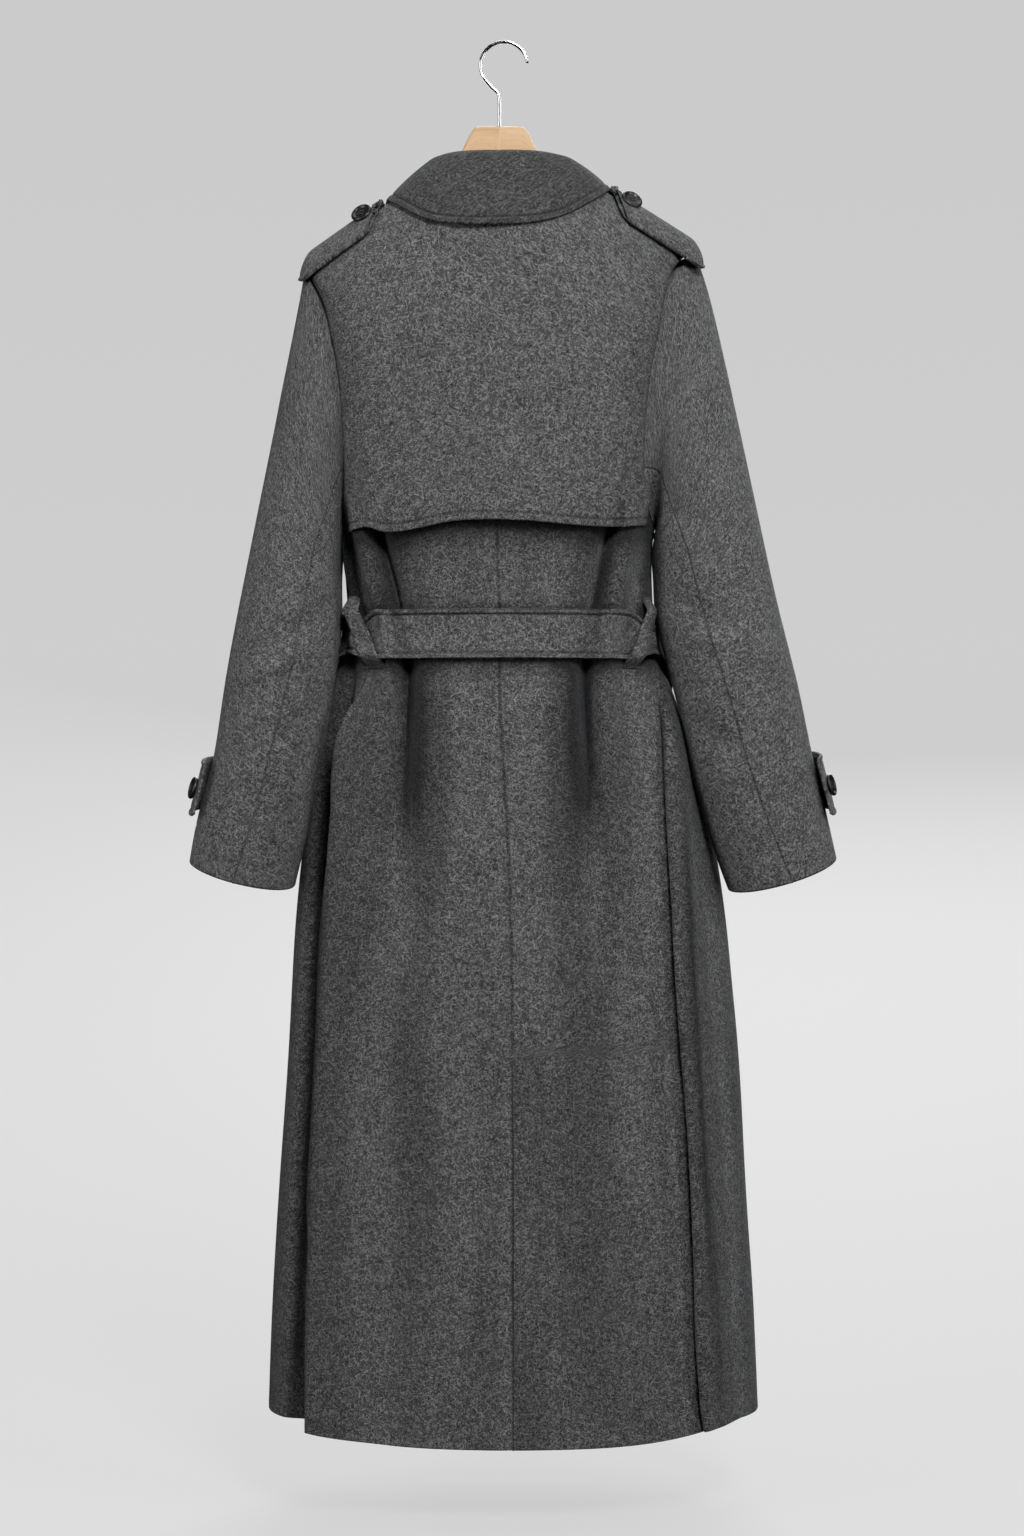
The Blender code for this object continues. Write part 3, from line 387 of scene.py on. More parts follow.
def sleeve_point(side, turn, v):
    """Smooth run from the armhole curve through the rings to the cuff; v is 0 to 1 along it."""
    start = armhole(side, turn)
    start[..., 0] += side * 1.2
    rings = [start] + [sleeve_ring(side, ring, turn) for ring in SLEEVES[side]]
    stack = np.stack(rings)
    place = np.clip(v, 0, 1) * (len(rings) - 1)
    i = np.minimum(place.astype(int), len(rings) - 2)
    t = (place - i)[:, None]
    pick = np.arange(len(turn))
    slopes = np.gradient(stack, axis=0)
    near, far = stack[i, pick], stack[i + 1, pick]
    near_slope, far_slope = slopes[i, pick], slopes[i + 1, pick]
    start = (1 + 2 * t) * (1 - t) ** 2 * near + t * (1 - t) ** 2 * near_slope
    return start + t * t * (3 - 2 * t) * far + t * t * (t - 1) * far_slope


def seam_turn(seam, v):
    """Angle of a sleeve's seam, in radians, at a share v of the way down the sleeve."""
    return np.radians(seam[0] + (seam[1] - seam[0]) * v)


def collar_point(u, v):
    """Fall of the collar: from the roll line at v 0 to the free edge at v 1, arched out between them."""
    table = np.array(COLLAR, float)
    knots = np.linspace(0, 1, len(COLLAR))
    places = spline(knots, table, u)
    roll, edge = places[:, :3], places[:, 3:6]
    radial = roll * (1, 1, 0)
    radial = radial / np.linalg.norm(radial, axis=1)[:, None]
    arch = 4 * v * (1 - v) * (1 - 0.3 * v)
    share = v[:, None]
    return roll + (edge - roll) * share + COLLAR_RISE * arch[:, None] * (radial * 0.75 + (0, 0, 0.65))


def shoulder_strap_point(side, along, across, lift):
    """Point over the shoulder line: along is the distance from the middle, across runs -1 front to 1 back."""
    depth = np.where(across > 0, STRAP_DROP_BACK, STRAP_DROP_FRONT) * across ** 2
    angle = np.arcsin(np.clip((along - side * column(BODY, "centre", -200)) / 208.0, -1, 1))
    z = shoulder_z(side, along) - depth
    points = [body(side, turned, z, lift) for turned in (angle, np.pi - angle)]
    return np.where((across > 0)[:, None], points[0], points[1])


def belt_drop(angle):
    """How far the belt's middle hangs below the waist on its way to the knot in front."""
    return BELT_DROOP * ramp((angle - np.radians(78)) / np.radians(75))


def belt_point(side, angle, v, lift):
    """Point of the belt: v runs from its lower edge to its upper edge."""
    z = BELT_Z + BELT_WIDTH * (v - 0.5) - belt_drop(angle)
    return body(side, angle, z, lift + front_layer(RIGHT, angle), taut=True)


def knot_centre():
    """Middle of the belt's knot."""
    z = BELT_Z - BELT_DROOP
    y = column(BODY, "front", z) + FRONT_LAYER + KNOT_DEPTH / 2 + 0.5
    return np.array([column(BODY, "centre", z), y, z])


def surface_frame(points):
    """Place and outward way of a surface from three of its points: here, one step along, one step across."""
    here, along, across = points
    facing = np.cross(along - here, across - here)
    return here, facing / np.linalg.norm(facing)


def side_name(side):
    """Side as piece names write it."""
    return "left" if side == LEFT else "right"


# ---- fine shape of the cloth --------------------------------------------------------------------
EDGE_STITCH = 8.0          # topstitching runs this far in from the finished edges
STITCH_PITCH, STITCH_LONG, STITCH_THICK = 3.6, 2.7, 0.55
STRAP_STITCH, CUFF_STITCH, BELT_GROOVE = 6.0, 36.0, 6.5    # on straps, at the cuff, dent on the belt
# doubled and rolled pieces are thicker than one cloth
COLLAR_WALL, LAPEL_WALL, SHOULDER_STRAP_WALL, CUFF_STRAP_WALL, LOOP_WALL = 3.2, 2.4, 4.6, 3.0, 2.6
BELT_BACK_EXTRA, BELT_STANDS_OFF = 1.4, 3.5
VENT_TOP, VENT_UNDER = -988.0, 38.0      # the vent starts here, and its under layer passes this far
COLUMN_STEP, ROW_STEP = 3.2, 4.0         # spacing of the points of a large panel

# a crease runs straight between two points of a panel, given by height and distance from the middle plane
Crease = namedtuple("Crease", "side face z0 x0 z1 x1 width height")
CREASES = (
    # upper back, between the flap and the belt
    Crease(LEFT, BACK, -470, 150, -585, 118, 8, -3.0),
    Crease(RIGHT, BACK, -470, 140, -585, 104, 8, -3.0),
    Crease(LEFT, BACK, -500, 60, -580, 66, 14, 1.2),
    Crease(RIGHT, BACK, -495, 52, -585, 56, 16, 1.0),
    # skirt: hollows inside the two ridges under the belt, and slower waves under them
    Crease(LEFT, BACK, -600, 79, -1080, 98, 30, -5.0),
    Crease(RIGHT, BACK, -600, 66, -1060, 86, 30, -5.0),
    Crease(RIGHT, BACK, -690, 166, -1420, 216, 3.2, -1.6),
    Crease(LEFT, BACK, -991, -6, -993, 48, 1.8, -1.0),
    Crease(LEFT, BACK, -615, 40, -760, 34, 13, 1.6),
    Crease(RIGHT, BACK, -618, 30, -740, 24, 12, 1.4),
    Crease(LEFT, BACK, -700, 120, -1180, 134, 22, 2.6),
    Crease(RIGHT, BACK, -720, 110, -1250, 142, 24, 2.4),
    Crease(LEFT, BACK, -900, 92, -1360, 100, 30, -1.8),
    Crease(RIGHT, BACK, -860, 74, -1340, 84, 34, -2.0),
    Crease(LEFT, BACK, -1010, 44, -1370, 50, 26, 1.4),
    Crease(RIGHT, BACK, -1040, 30, -1375, 34, 28, 1.2),
    Crease(RIGHT, BACK, -640, 171, -1000, 190, 8, -2.0),
    # front of the skirt and of the chest
    Crease(LEFT, FRONT, -640, 60, -860, 66, 16, -3.0),
    Crease(RIGHT, FRONT, -640, 84, -900, 92, 18, -3.0),
    Crease(LEFT, FRONT, -700, 100, -1250, 118, 26, 3.0),
    Crease(RIGHT, FRONT, -690, 30, -1180, 40, 28, 2.4),
    Crease(LEFT, FRONT, -900, 24, -1340, 20, 30, -2.0),
    Crease(RIGHT, FRONT, -840, 150, -1320, 176, 24, -2.4),
    Crease(LEFT, FRONT, -250, 150, -440, 120, 16, -2.4),
    Crease(RIGHT, FRONT, -240, 140, -450, 112, 16, -2.4),
    Crease(LEFT, FRONT, -470, 110, -580, 96, 12, 2.6),
    Crease(RIGHT, FRONT, -480, 100, -590, 84, 12, 2.6),
)
# on a sleeve the two coordinates are the way down from the armhole and the angle from its outer line, in
# degrees
ARM_CREASES = (
    Crease(LEFT, BACK, 23, 60, 172, 30, 17, 2.0),
    Crease(LEFT, BACK, 94, 110, 234, 70, 16, -1.8),
    Crease(LEFT, BACK, 281, 150, 359, 60, 12, -2.2),
    Crease(LEFT, BACK, 328, 130, 390, 40, 11, 1.8),
    Crease(LEFT, BACK, 382, 150, 445, 80, 12, -1.6),
    Crease(LEFT, BACK, 203, -30, 296, -90, 16, -2.2),
    Crease(LEFT, BACK, 296, -40, 367, -120, 14, -2.4),
    Crease(RIGHT, BACK, 23, 50, 156, 34, 19, 2.2),
    Crease(RIGHT, BACK, 117, 120, 250, 80, 16, -1.8),
    Crease(RIGHT, BACK, 265, 140, 343, 70, 13, -2.0),
    Crease(RIGHT, BACK, 320, 120, 374, 30, 11, 1.6),
    Crease(RIGHT, BACK, 390, 140, 460, 90, 12, -1.8),
    Crease(RIGHT, BACK, 187, -20, 289, -80, 16, -2.0),
    Crease(RIGHT, BACK, 304, -50, 382, -110, 14, -2.6),
)


# painted shade in the depth of the folds and in the groove of the vent's bar tack: the same kind of
# table, with the share of painted shade as its height
SHADES = (
    Crease(LEFT, BACK, -500, 127, -640, 98, 10, 0.8),
    Crease(LEFT, BACK, -590, 91, -810, 93, 13, 1.0),
    Crease(LEFT, BACK, -620, 84, -880, 90, 22, 0.3),
    Crease(LEFT, BACK, -490, 158, -660, 140, 7, 0.7),
    Crease(LEFT, BACK, -480, 157, -640, 125, 4.5, 0.7),
    Crease(RIGHT, BACK, -500, 108, -640, 83, 9, 0.8),
    Crease(RIGHT, BACK, -590, 78, -810, 81, 13, 1.0),
    Crease(RIGHT, BACK, -620, 70, -880, 78, 24, 0.3),
    Crease(RIGHT, BACK, -480, 147, -640, 130, 5, 0.6),
    Crease(LEFT, BACK, -640, 170, -1500, 213, 6, 0.85),
    Crease(LEFT, BACK, -991, -6, -993, 48, 1.5, 0.5),
    Crease(RIGHT, BACK, -690, 168, -1420, 214, 3.6, 0.7),
)


def shade(side, face, x, z):
    """Painted shade on a body panel's cloth: in its folds, and painted shadow in the bands under the flap and
    the belt.
    """
    total = crease_relief(SHADES, z, side * x, side, face)
    if face == BACK:
        # painted shadow below the storm flap's free edge
        under = spline(*zip(*FLAP_EDGE), x) - z
        total = total + 0.95 * np.exp(-(np.maximum(under, 0) / 21.0) ** 2)
        # painted shadow below the belt, and a band of painted shade along its top edge
        under = BELT_Z - BELT_WIDTH / 2 - z
        total = total + 0.75 * np.exp(-(np.where(under < 0, under / 8.0, under / 15.0)) ** 2)
        total = total + 0.5 * np.exp(-((z - BELT_Z - BELT_WIDTH / 2) / 7.0) ** 2)
    return total


def unit(vectors):
    """The same ways with length one."""
    return vectors / np.maximum(np.linalg.norm(vectors, axis=-1, keepdims=True), 1e-9)


def wander(a, b, seed):
    """Slow unevenness between about -1 and 1: a sum of sine waves in four directions."""
    phase = seed * 1.7
    total = np.sin(a / 31.0 + b / 83.0 + phase) + np.sin(a / 57.0 - b / 49.0 + 2.3 * phase)
    total = total + np.sin(b / 37.0 + a / 141.0 + 3.1 * phase)
    return (total + 0.6 * np.sin(a / 17.0 + b / 61.0 + phase)) / 3.6


def crease_relief(creases, a, b, side, face):
    """Sum over the creases: each is a bell across its line, and fades in and out along it."""
    total = np.zeros_like(a)
    for crease in creases:
        if crease.side != side or crease.face != face:
            continue
        run_a, run_b = crease.z1 - crease.z0, crease.x1 - crease.x0
        length = run_a * run_a + run_b * run_b
        share = ((a - crease.z0) * run_a + (b - crease.x0) * run_b) / length
        bow = 0.35 * crease.width * np.sin(np.pi * np.clip(share, 0, 1) * 1.3)
        off = ((a - crease.z0) * run_b - (b - crease.x0) * run_a) / np.sqrt(length) + bow
        fade = ramp((share + 0.05) / 0.3) * ramp((1.08 - share) / 0.45)
        total = total + crease.height * np.exp(-(off / crease.width) ** 2) * fade
    return total


def spaced(length, step, *finer):
    """Places from 0 to 1 along a length: even steps, with more of them around each finer place."""
    places = list(np.linspace(0, length, max(2, int(round(length / step)) + 1)))
    for middle, reach, fine in finer:
        places = [p for p in places if abs(p - middle) > reach + 0.3 * step or p in (0, length)]
        places += list(np.arange(max(0, middle - reach), min(length, middle + reach) + fine / 2, fine))
    places = np.unique(np.round(np.clip(places, 0, length), 3))
    keep = np.concatenate([[True], np.diff(places) > 0.25])
    places = places[keep]
    places[-1] = length
    return places / length


def normals_of(points, outward):
    """Way out of the cloth at every point of a grid."""
    along, down = np.gradient(points, axis=1), np.gradient(points, axis=0)
    return unit(np.cross(along, down)) * outward


def from_border(points, border):
    """Way from one border to every point, measured along the grid lines that leave it."""
    axis = 0 if border in ("top", "bottom") else 1
    steps = np.linalg.norm(np.diff(points, axis=axis), axis=2)
    first = np.zeros_like(np.take(steps, [0], axis=axis))
    way = np.cumsum(np.concatenate([first, steps], axis=axis), axis=axis)
    if border in ("bottom", "right"):
        way = np.take(way, [-1], axis=axis) - way
    return way


def nearest_way(points, borders):
    """Way from the nearest of some borders."""
    return np.min([from_border(points, border) for border in borders], axis=0)


def depth_shade(points, normal, reach):
    """Painted shade in a hollow: how far the cloth lies below the middle between two places either side of
    it.
    """
    below = np.zeros(points.shape[:2])
    middle = (points[:, 2 * reach:] + points[:, :-2 * reach]) / 2
    below[:, reach:-reach] = ((middle - points[:, reach:-reach]) * normal[:, reach:-reach]).sum(axis=2)
    return np.clip(below / 7.0, 0.0, 0.35)


def seam_shade(points, borders):
    """Thin painted shade in the groove of a seam."""
    way = nearest_way(points, borders)
    return 0.54 * np.exp(-(way / 1.0) ** 2)


def hem_shade(points, borders, at=EDGE_STITCH):
    """Thin painted shade in the groove of an edge's topstitching."""
    way = nearest_way(points, borders)
    return 0.42 * np.exp(-((way - at) / 1.2) ** 2)


def hem_relief(points, borders, at=EDGE_STITCH, puff=0.7, depth=0.9):
    """Sewn edge: a groove at the stitching, and the doubled cloth outside it a little puffed."""
    way = nearest_way(points, borders)
    groove = -depth * np.exp(-((way - at) / 1.2) ** 2)
    return groove + puff * np.sin(np.pi * np.clip(way / at, 0, 1)) ** 0.8


def seam_relief(points, borders, depth=1.0, width=1.1):
    """Shallow groove along the borders that are sewn to the next piece."""
    way = nearest_way(points, borders)
    return -depth * np.exp(-(way / width) ** 2)


def inset_line(points, normals, border, at=EDGE_STITCH, trim=EDGE_STITCH):
    """Line on the surface that keeps a fixed way in from one border, less a trim at both its ends."""
    way = from_border(points, border)
    if border in ("left", "right"):
        way, points, normals = way.T, points.transpose(1, 0, 2), normals.transpose(1, 0, 2)
    if border in ("bottom", "right"):
        way, points, normals = way[::-1], points[::-1], normals[::-1]
    row = np.clip((way < at).sum(axis=0) - 1, 0, len(way) - 2)
    pick = np.arange(way.shape[1])
    share = ((at - way[row, pick]) / (way[row + 1, pick] - way[row, pick]))[:, None]
    line = points[row, pick] * (1 - share) + points[row + 1, pick] * share
    facing = unit(normals[row, pick] * (1 - share) + normals[row + 1, pick] * share)
    length = np.concatenate([[0], np.cumsum(np.linalg.norm(np.diff(line, axis=0), axis=1))])
    inside = (length >= trim) & (length <= length[-1] - trim)
    return line[inside], facing[inside]


# ---- meshes ---------------------------------------------------------------------------------------
def put_mesh(name, verts, faces, finish, uv=None, smooth=True, dark=None):
    """Mesh object at the origin from arrays in millimetres; it rides on the coat's one body."""
    mesh = bpy.data.meshes.new(name)
    faces = [tuple(face) for part in faces for face in np.asarray(part).tolist()]
    mesh.from_pydata((np.asarray(verts) * MM).tolist(), [], faces)
    if uv is not None:
        corner = np.empty(len(mesh.loops), np.int32)
        mesh.loops.foreach_get("vertex_index", corner)
        layer = mesh.uv_layers.new(name="cloth")
        layer.data.foreach_set("uv", (np.asarray(uv)[corner] * MM).ravel().astype(np.float32))
    if dark is not None:
        mesh.attributes.new("dark", "FLOAT", "POINT").data.foreach_set("value", dark.astype(np.float32))
    mesh.materials.append(finish)
    if smooth:
        mesh.shade_smooth()
    mesh.update()
    made = bpy.data.objects.new(name, mesh)
    bpy.context.scene.collection.objects.link(made)
    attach(made, "root")
    return made


def grid_faces(rows, cols, start=0, flip=False):
    """Four-sided faces between the rows and columns of a grid."""
    index = start + np.arange(rows * cols).reshape(rows, cols)
    quads = np.stack([index[:-1, :-1], index[:-1, 1:], index[1:, 1:], index[1:, :-1]], axis=-1).reshape(-1, 4)
    return quads[:, ::-1] if flip else quads


def ring_faces(rows, cols, flip=False):
    """Indices and faces of a grid whose last column joins its first."""
    index = np.arange(rows * cols).reshape(rows, cols)
    nxt = np.roll(index, -1, axis=1)
    corners = [index[:-1], index[1:], nxt[1:], nxt[:-1]]
    if flip:
        corners = [index[:-1], nxt[:-1], nxt[1:], index[1:]]
    return index, np.stack(corners, axis=-1).reshape(-1, 4)


def shell(name, points, outward, wall=WALL, relief=None, offset=0.0, sewn=(), dark=0.0):
    """Cloth wall with a round edge: the grid is its outer face, moved along its normals by the relief, and
    half a circle carried round the border joins it to the inner face. The round edge passes the border
    where it is sewn, so that no gap shows at a seam, and stays inside it elsewhere. The attribute "dark"
    holds painted shade from 0 to 1: the darkness given here, and painted shade in the sewn grooves and in
    the hollows."""
    rows, cols, _ = points.shape
    normal = normals_of(points, outward)
    if relief is not None:
        points = points + normal * relief[..., None]
        normal = normals_of(points, outward)
    radius = wall / 2
    index = np.arange(rows * cols).reshape(rows, cols)
    border = np.concatenate([index[0, :-1], index[:-1, -1], index[-1, :0:-1], index[:0:-1, 0]])
    away = np.zeros_like(points)
    away[0] += unit(points[0] - points[1])
    away[-1] += unit(points[-1] - points[-2])
    away[:, 0] += unit(points[:, 0] - points[:, 1])
    away[:, -1] += unit(points[:, -1] - points[:, -2])
    away = away.reshape(-1, 3)[border]
    facing = normal.reshape(-1, 3)[border]
    away = unit(away - facing * (away * facing).sum(axis=1, keepdims=True))
    pull = np.ones((rows, cols))
    cuts = {"top": np.s_[0], "bottom": np.s_[-1], "left": np.s_[:, 0], "right": np.s_[:, -1]}
    for place, cut in cuts.items():
        pull[cut] = 0.0 if place in sewn else 1.0
    flat = points.reshape(-1, 3).copy()
    flat[border] -= away * radius * pull.reshape(-1, 1)[border]
    layers = [flat]
    for turn in (0.25, 0.5, 0.75):
        angle = np.pi * turn
        layers.append(flat[border] - facing * radius * (1 - np.cos(angle)) + away * radius * np.sin(angle))
    layers.append(flat - normal.reshape(-1, 3) * wall)
    verts = np.concatenate(layers)
    size, ring = rows * cols, len(border)
    starts = [border] + [size + k * ring + np.arange(ring) for k in range(3)] + [size + 3 * ring + border]
    flip = outward < 0
    faces = [grid_faces(rows, cols, 0, flip), grid_faces(rows, cols, size + 3 * ring, not flip)]
    for near, far in zip(starts, starts[1:]):
        quads = np.stack([np.roll(near, -1), near, far, np.roll(far, -1)], axis=-1)
        faces.append(quads[:, ::-1] if flip else quads)
    across = from_border(points, "left")
    down = np.broadcast_to(from_border(points, "top").mean(axis=1, keepdims=True), across.shape)
    uv = np.stack([across + offset, down + 1.7 * offset], axis=-1).reshape(-1, 2)
    uv = np.concatenate([uv] + [uv[border]] * 3 + [uv])
    # painted shade in the groove of the sewn borders and in the hollows, added to the darkness given
    dark = (dark + seam_shade(points, [b for b in sewn if b != "top"] or ["top"]) * bool(sewn)
            + depth_shade(points, normal, min(6, cols // 3)))
    dark = np.clip(dark, 0.0, 1.0).ravel()
    dark = np.concatenate([dark] + [dark[border]] * 3 + [dark])
    made = put_mesh(name, verts, faces, FINISHES["wool"], uv, dark=dark)
    return made, points, normal


def sheet(replaced):
    """Hides the CAD parts that the piece stands for."""
    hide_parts(*replaced)


def piece(name, points, outward, rests_on, stitched=(), at=EDGE_STITCH, trim=EDGE_STITCH, **form):
    """Cloth piece that stands for the CAD node of its name; gives the lines of its topstitching."""
    made, points, normal = shell("coat_" + name, points, outward, **form)
    sheet([name])
    return [inset_line(points, normal, border, at, trim) for border in stitched]


def over_grid(place, *grids):
    """Points of a function of flat lists, for whole grids of its arguments."""
    grids = np.broadcast_arrays(*grids)
    return place(*(grid.ravel() for grid in grids)).reshape(grids[0].shape + (3,))


def stitch_row(line, facing, pitch):
    """Middles, ways along and outward ways of the stitches that fit on a line."""
    length = np.concatenate([[0], np.cumsum(np.linalg.norm(np.diff(line, axis=0), axis=1))])
    count = int(length[-1] // pitch)
    at = (np.arange(count) + 0.5) * pitch
    middle = np.stack([np.interp(at, length, line[:, k]) for k in range(3)], axis=1)
    ahead = np.stack([np.interp(at + 1.0, length, line[:, k]) for k in range(3)], axis=1)
    behind = np.stack([np.interp(at - 1.0, length, line[:, k]) for k in range(3)], axis=1)
    out = unit(np.stack([np.interp(at, length, facing[:, k]) for k in range(3)], axis=1))
    return middle, unit(ahead - behind), out


def stitches(name, lines, thick=STITCH_THICK, long=STITCH_LONG, pitch=STITCH_PITCH):
    """All stitches of some lines as one mesh: each is a small spindle lying along its line, its middle
    raised and its ends sunk into the cloth."""
    rows = [stitch_row(line, facing, pitch) for line, facing in lines if len(line) > 3]
    middle, along, out = (np.concatenate([row[k] for row in rows]) for k in range(3))
    side = unit(np.cross(along, out))
    sides = 5
    stations = ((-0.5, 0.35, -0.35), (-0.25, 1.0, 0.15), (0.25, 1.0, 0.15), (0.5, 0.35, -0.35))
    turn = np.arange(sides) * 2 * np.pi / sides
    verts = []
    for place, size, rise in stations:
        centre = middle + along * place * long + out * rise * thick
        for angle in turn:
            verts.append(centre + (side * np.cos(angle) + out * np.sin(angle)) * thick / 2 * size)
    verts = np.stack(verts, axis=1)
    each = len(stations) * sides
    quads = []
    for k in range(len(stations) - 1):
        for s in range(sides):
            a, b = k * sides + s, k * sides + (s + 1) % sides
            quads.append((a, b, b + sides, a + sides))
    caps = [tuple(range(sides)), tuple(range(each - 1, each - sides - 1, -1))]
    base = (np.arange(len(middle)) * each)[:, None, None]
    quads = (np.array(quads)[None] + base).reshape(-1, 4)[:, ::-1]
    caps = (np.array(caps)[None] + base).reshape(-1, sides)[:, ::-1]
    return put_mesh(name, verts.reshape(-1, 3), [quads, caps], FINISHES["thread"])


def tube(route, radius, sides=20):
    """Round rod along a route: rings square to the route, carried along without twisting, and a rounded
    cap at each end. Radius may change along the route."""
    route = np.asarray(route, float)
    radius = np.broadcast_to(radius, len(route)).astype(float)
    way = unit(np.gradient(route, axis=0))
    first = np.cross(way[0], (0.3, 1.0, 0.2))
    right = [first / np.linalg.norm(first)]
    for step in way[1:]:
        turned = right[-1] - step * np.dot(right[-1], step)
        right.append(turned / np.linalg.norm(turned))
    right = np.array(right)
    up = np.cross(way, right)
    start = [route[0] - way[0] * radius[0] * b for b in (1.0, 0.87, 0.5)]
    end = [route[-1] + way[-1] * radius[-1] * b for b in (0.5, 0.87, 1.0)]
    centres = np.array(start + list(route) + end)
    narrow = (0.02, 0.5, 0.87)
    sizes = np.array([radius[0] * a for a in narrow] + list(radius) + [radius[-1] * a for a in narrow[::-1]])
    right = np.concatenate([right[:1]] * 3 + [right] + [right[-1:]] * 3)
    up = np.concatenate([up[:1]] * 3 + [up] + [up[-1:]] * 3)
    turn = np.arange(sides) * 2 * np.pi / sides
    rings = centres[:, None] + sizes[:, None, None] * (right[:, None] * np.cos(turn)[None, :, None]
                                                       + up[:, None] * np.sin(turn)[None, :, None])
    index, quads = ring_faces(len(centres), sides, flip=True)
    ends = [index[0][::-1], index[-1]]
    return rings.reshape(-1, 3), quads, ends


def join(parts):
    """Several (verts, face arrays) as one set of verts and face arrays."""
    verts, faces, start = [], [], 0
    for part_verts, part_faces in parts:
        verts.append(part_verts)
        faces += [np.atleast_2d(f) + start for f in part_faces]
        start += len(part_verts)
    return np.concatenate(verts), faces


# ---- finishes -------------------------------------------------------------------------------------
FINISHES = {}


class Finish:
    """A material's node tree, with short ways to add and join nodes."""

    def __init__(self, name):
        self.material = bpy.data.materials.new(name)
        self.material.use_nodes = True
        self.tree = self.material.node_tree
        self.shader = self.tree.nodes["Principled BSDF"]
        FINISHES[name] = self.material

    def set(self, **sockets):
        for name, value in sockets.items():
            self.shader.inputs[name.replace("_", " ").title().replace("Ior", "IOR")].default_value = value

    def node(self, kind, inputs=None, **settings):
        made = self.tree.nodes.new("ShaderNode" + kind)
        for key, value in settings.items():
            setattr(made, key, value)
        for key, value in (inputs or {}).items():
            if isinstance(value, bpy.types.NodeSocket):
                self.tree.links.new(value, made.inputs[key])
            else:
                made.inputs[key].default_value = value
        return made

    def surface(self, uv=True):
        """Coordinates in metres: the cloth's own width and length, or the object's axes."""
        if uv:
            return self.node("UVMap", uv_map="cloth").outputs["UV"]
        return self.node("TexCoord").outputs["Object"]

    def noise(self, vector, scale, detail=2.0, rough=0.5, distortion=0.0):
        return self.node("TexNoise", {"Vector": vector, "Scale": scale, "Detail": detail, "Roughness": rough,
                                      "Distortion": distortion}).outputs["Fac"]

    def stretched(self, vector, turn, along, across):
        """Coordinates turned, then counted so many to the metre along and across."""
        return self.node("Mapping", {"Vector": vector, "Rotation": (0, 0, turn),
                                     "Scale": (1 / along, 1 / across, 1.0)}, vector_type="TEXTURE")

    def math(self, kind, a, b=0.5, c=0.5, clamp=False):
        made = self.node("Math", {0: a, 1: b, 2: c}, operation=kind, use_clamp=clamp)
        return made.outputs[0]

    def curve(self, value, low, high, to_low=0.0, to_high=1.0):
        return self.node("MapRange", {"Value": value, "From Min": low, "From Max": high, "To Min": to_low,
                                      "To Max": to_high}).outputs["Result"]

    def ramp(self, value, *stops):
        made = self.node("ValToRGB", {"Fac": value})
        while len(made.color_ramp.elements) < len(stops):
            made.color_ramp.elements.new(0.5)
        for element, (place, colour) in zip(made.color_ramp.elements, stops):
            element.position = place
            element.color = (*colour, 1.0)
        return made.outputs["Color"]

    def mix(self, share, one, two, kind="MIX"):
        made = self.node("Mix", data_type="RGBA", blend_type=kind)
        for key, value in (("Factor", share), ("A", one), ("B", two)):
            socket = next(s for s in made.inputs if s.name == key and s.enabled)
            if isinstance(value, bpy.types.NodeSocket):
                self.tree.links.new(value, socket)
            else:
                socket.default_value = value if key == "Factor" else (*value, 1.0)
        return next(s for s in made.outputs if s.enabled)

    def bump(self, height, distance, strength=1.0, below=None):
        inputs = {"Height": height, "Distance": distance, "Strength": strength}
        if below is not None:
            inputs["Normal"] = below
        return self.node("Bump", inputs).outputs["Normal"]

    def link(self, value, socket):
        self.tree.links.new(value, self.shader.inputs[socket])


def wool_finish(looks):
    """Melange: dark and pale hairs, each the thin level line of a stretched noise, over soft mottling."""
    f = Finish("wool")
    uv = f.surface()
    hairs = []
    for number, turn in enumerate((0.35, -0.75, 1.45, 2.5, 0.95, -0.2)):
        place = f.stretched(uv, turn, 165.0 + 15 * number, 800.0 + 40 * number)
        place.inputs["Location"].default_value = (number * 0.37, number * 0.19, 0)
        hairs.append(f.noise(place.outputs[0], 1.0, 1.5, 0.6, 1.5))
    pale = f.curve(hairs[0], 0.575, 0.66)
    for hair in hairs[1:3]:
        pale = f.math("ADD", pale, f.curve(hair, 0.58, 0.66), clamp=True)
    dark = f.curve(hairs[3], 0.56, 0.66)
    for hair in hairs[4:]:
        dark = f.math("ADD", dark, f.curve(hair, 0.56, 0.66), clamp=True)
    mottle = f.noise(uv, 95.0, 3.0, 0.7)
    cloud = f.noise(uv, 20.0, 2.0, 0.5)
    fine = f.noise(uv, 850.0, 2.0, 0.7)
    base = f.ramp(f.math("MULTIPLY_ADD", cloud, 0.3, f.math("MULTIPLY", mottle, 0.7)),
                  (0.34, looks.wool_dark), (0.64, looks.wool_mid))
    base = f.mix(f.curve(fine, 0.35, 0.65, 0.0, 0.45), base, looks.wool_mid)
    with_dark = f.mix(f.math("MULTIPLY", dark, 0.92), base, looks.wool_deep)
    colour = f.mix(f.math("MULTIPLY", pale, 0.75), with_dark, looks.wool_pale)
    # painted shade: the "dark" attribute mixes the cloth towards the painted-shade colour in folds, grooves,
    # hollows and under the flap and belt; on the collar and shoulder straps it also holds a fixed darker
    # share
    dark_share = f.node("Attribute", attribute_name="dark").outputs["Fac"]
    colour = f.mix(f.math("MULTIPLY", dark_share, 0.86), colour, looks.wool_painted_shade)
    f.link(colour, "Base Color")
    f.set(roughness=0.92, sheen_weight=0.16, sheen_roughness=0.45, specular_ior_level=0.18)
    f.shader.inputs["Sheen Tint"].default_value = (0.72, 0.74, 0.78, 1.0)
    height = f.math("ADD", f.math("MULTIPLY_ADD", pale, 0.8, f.math("MULTIPLY", dark, -0.7)),
                    f.math("MULTIPLY", fine, 0.6))
    lumps = f.bump(mottle, 0.0016, 0.35)
    f.link(f.bump(height, 0.0006, 0.55, lumps), "Normal")


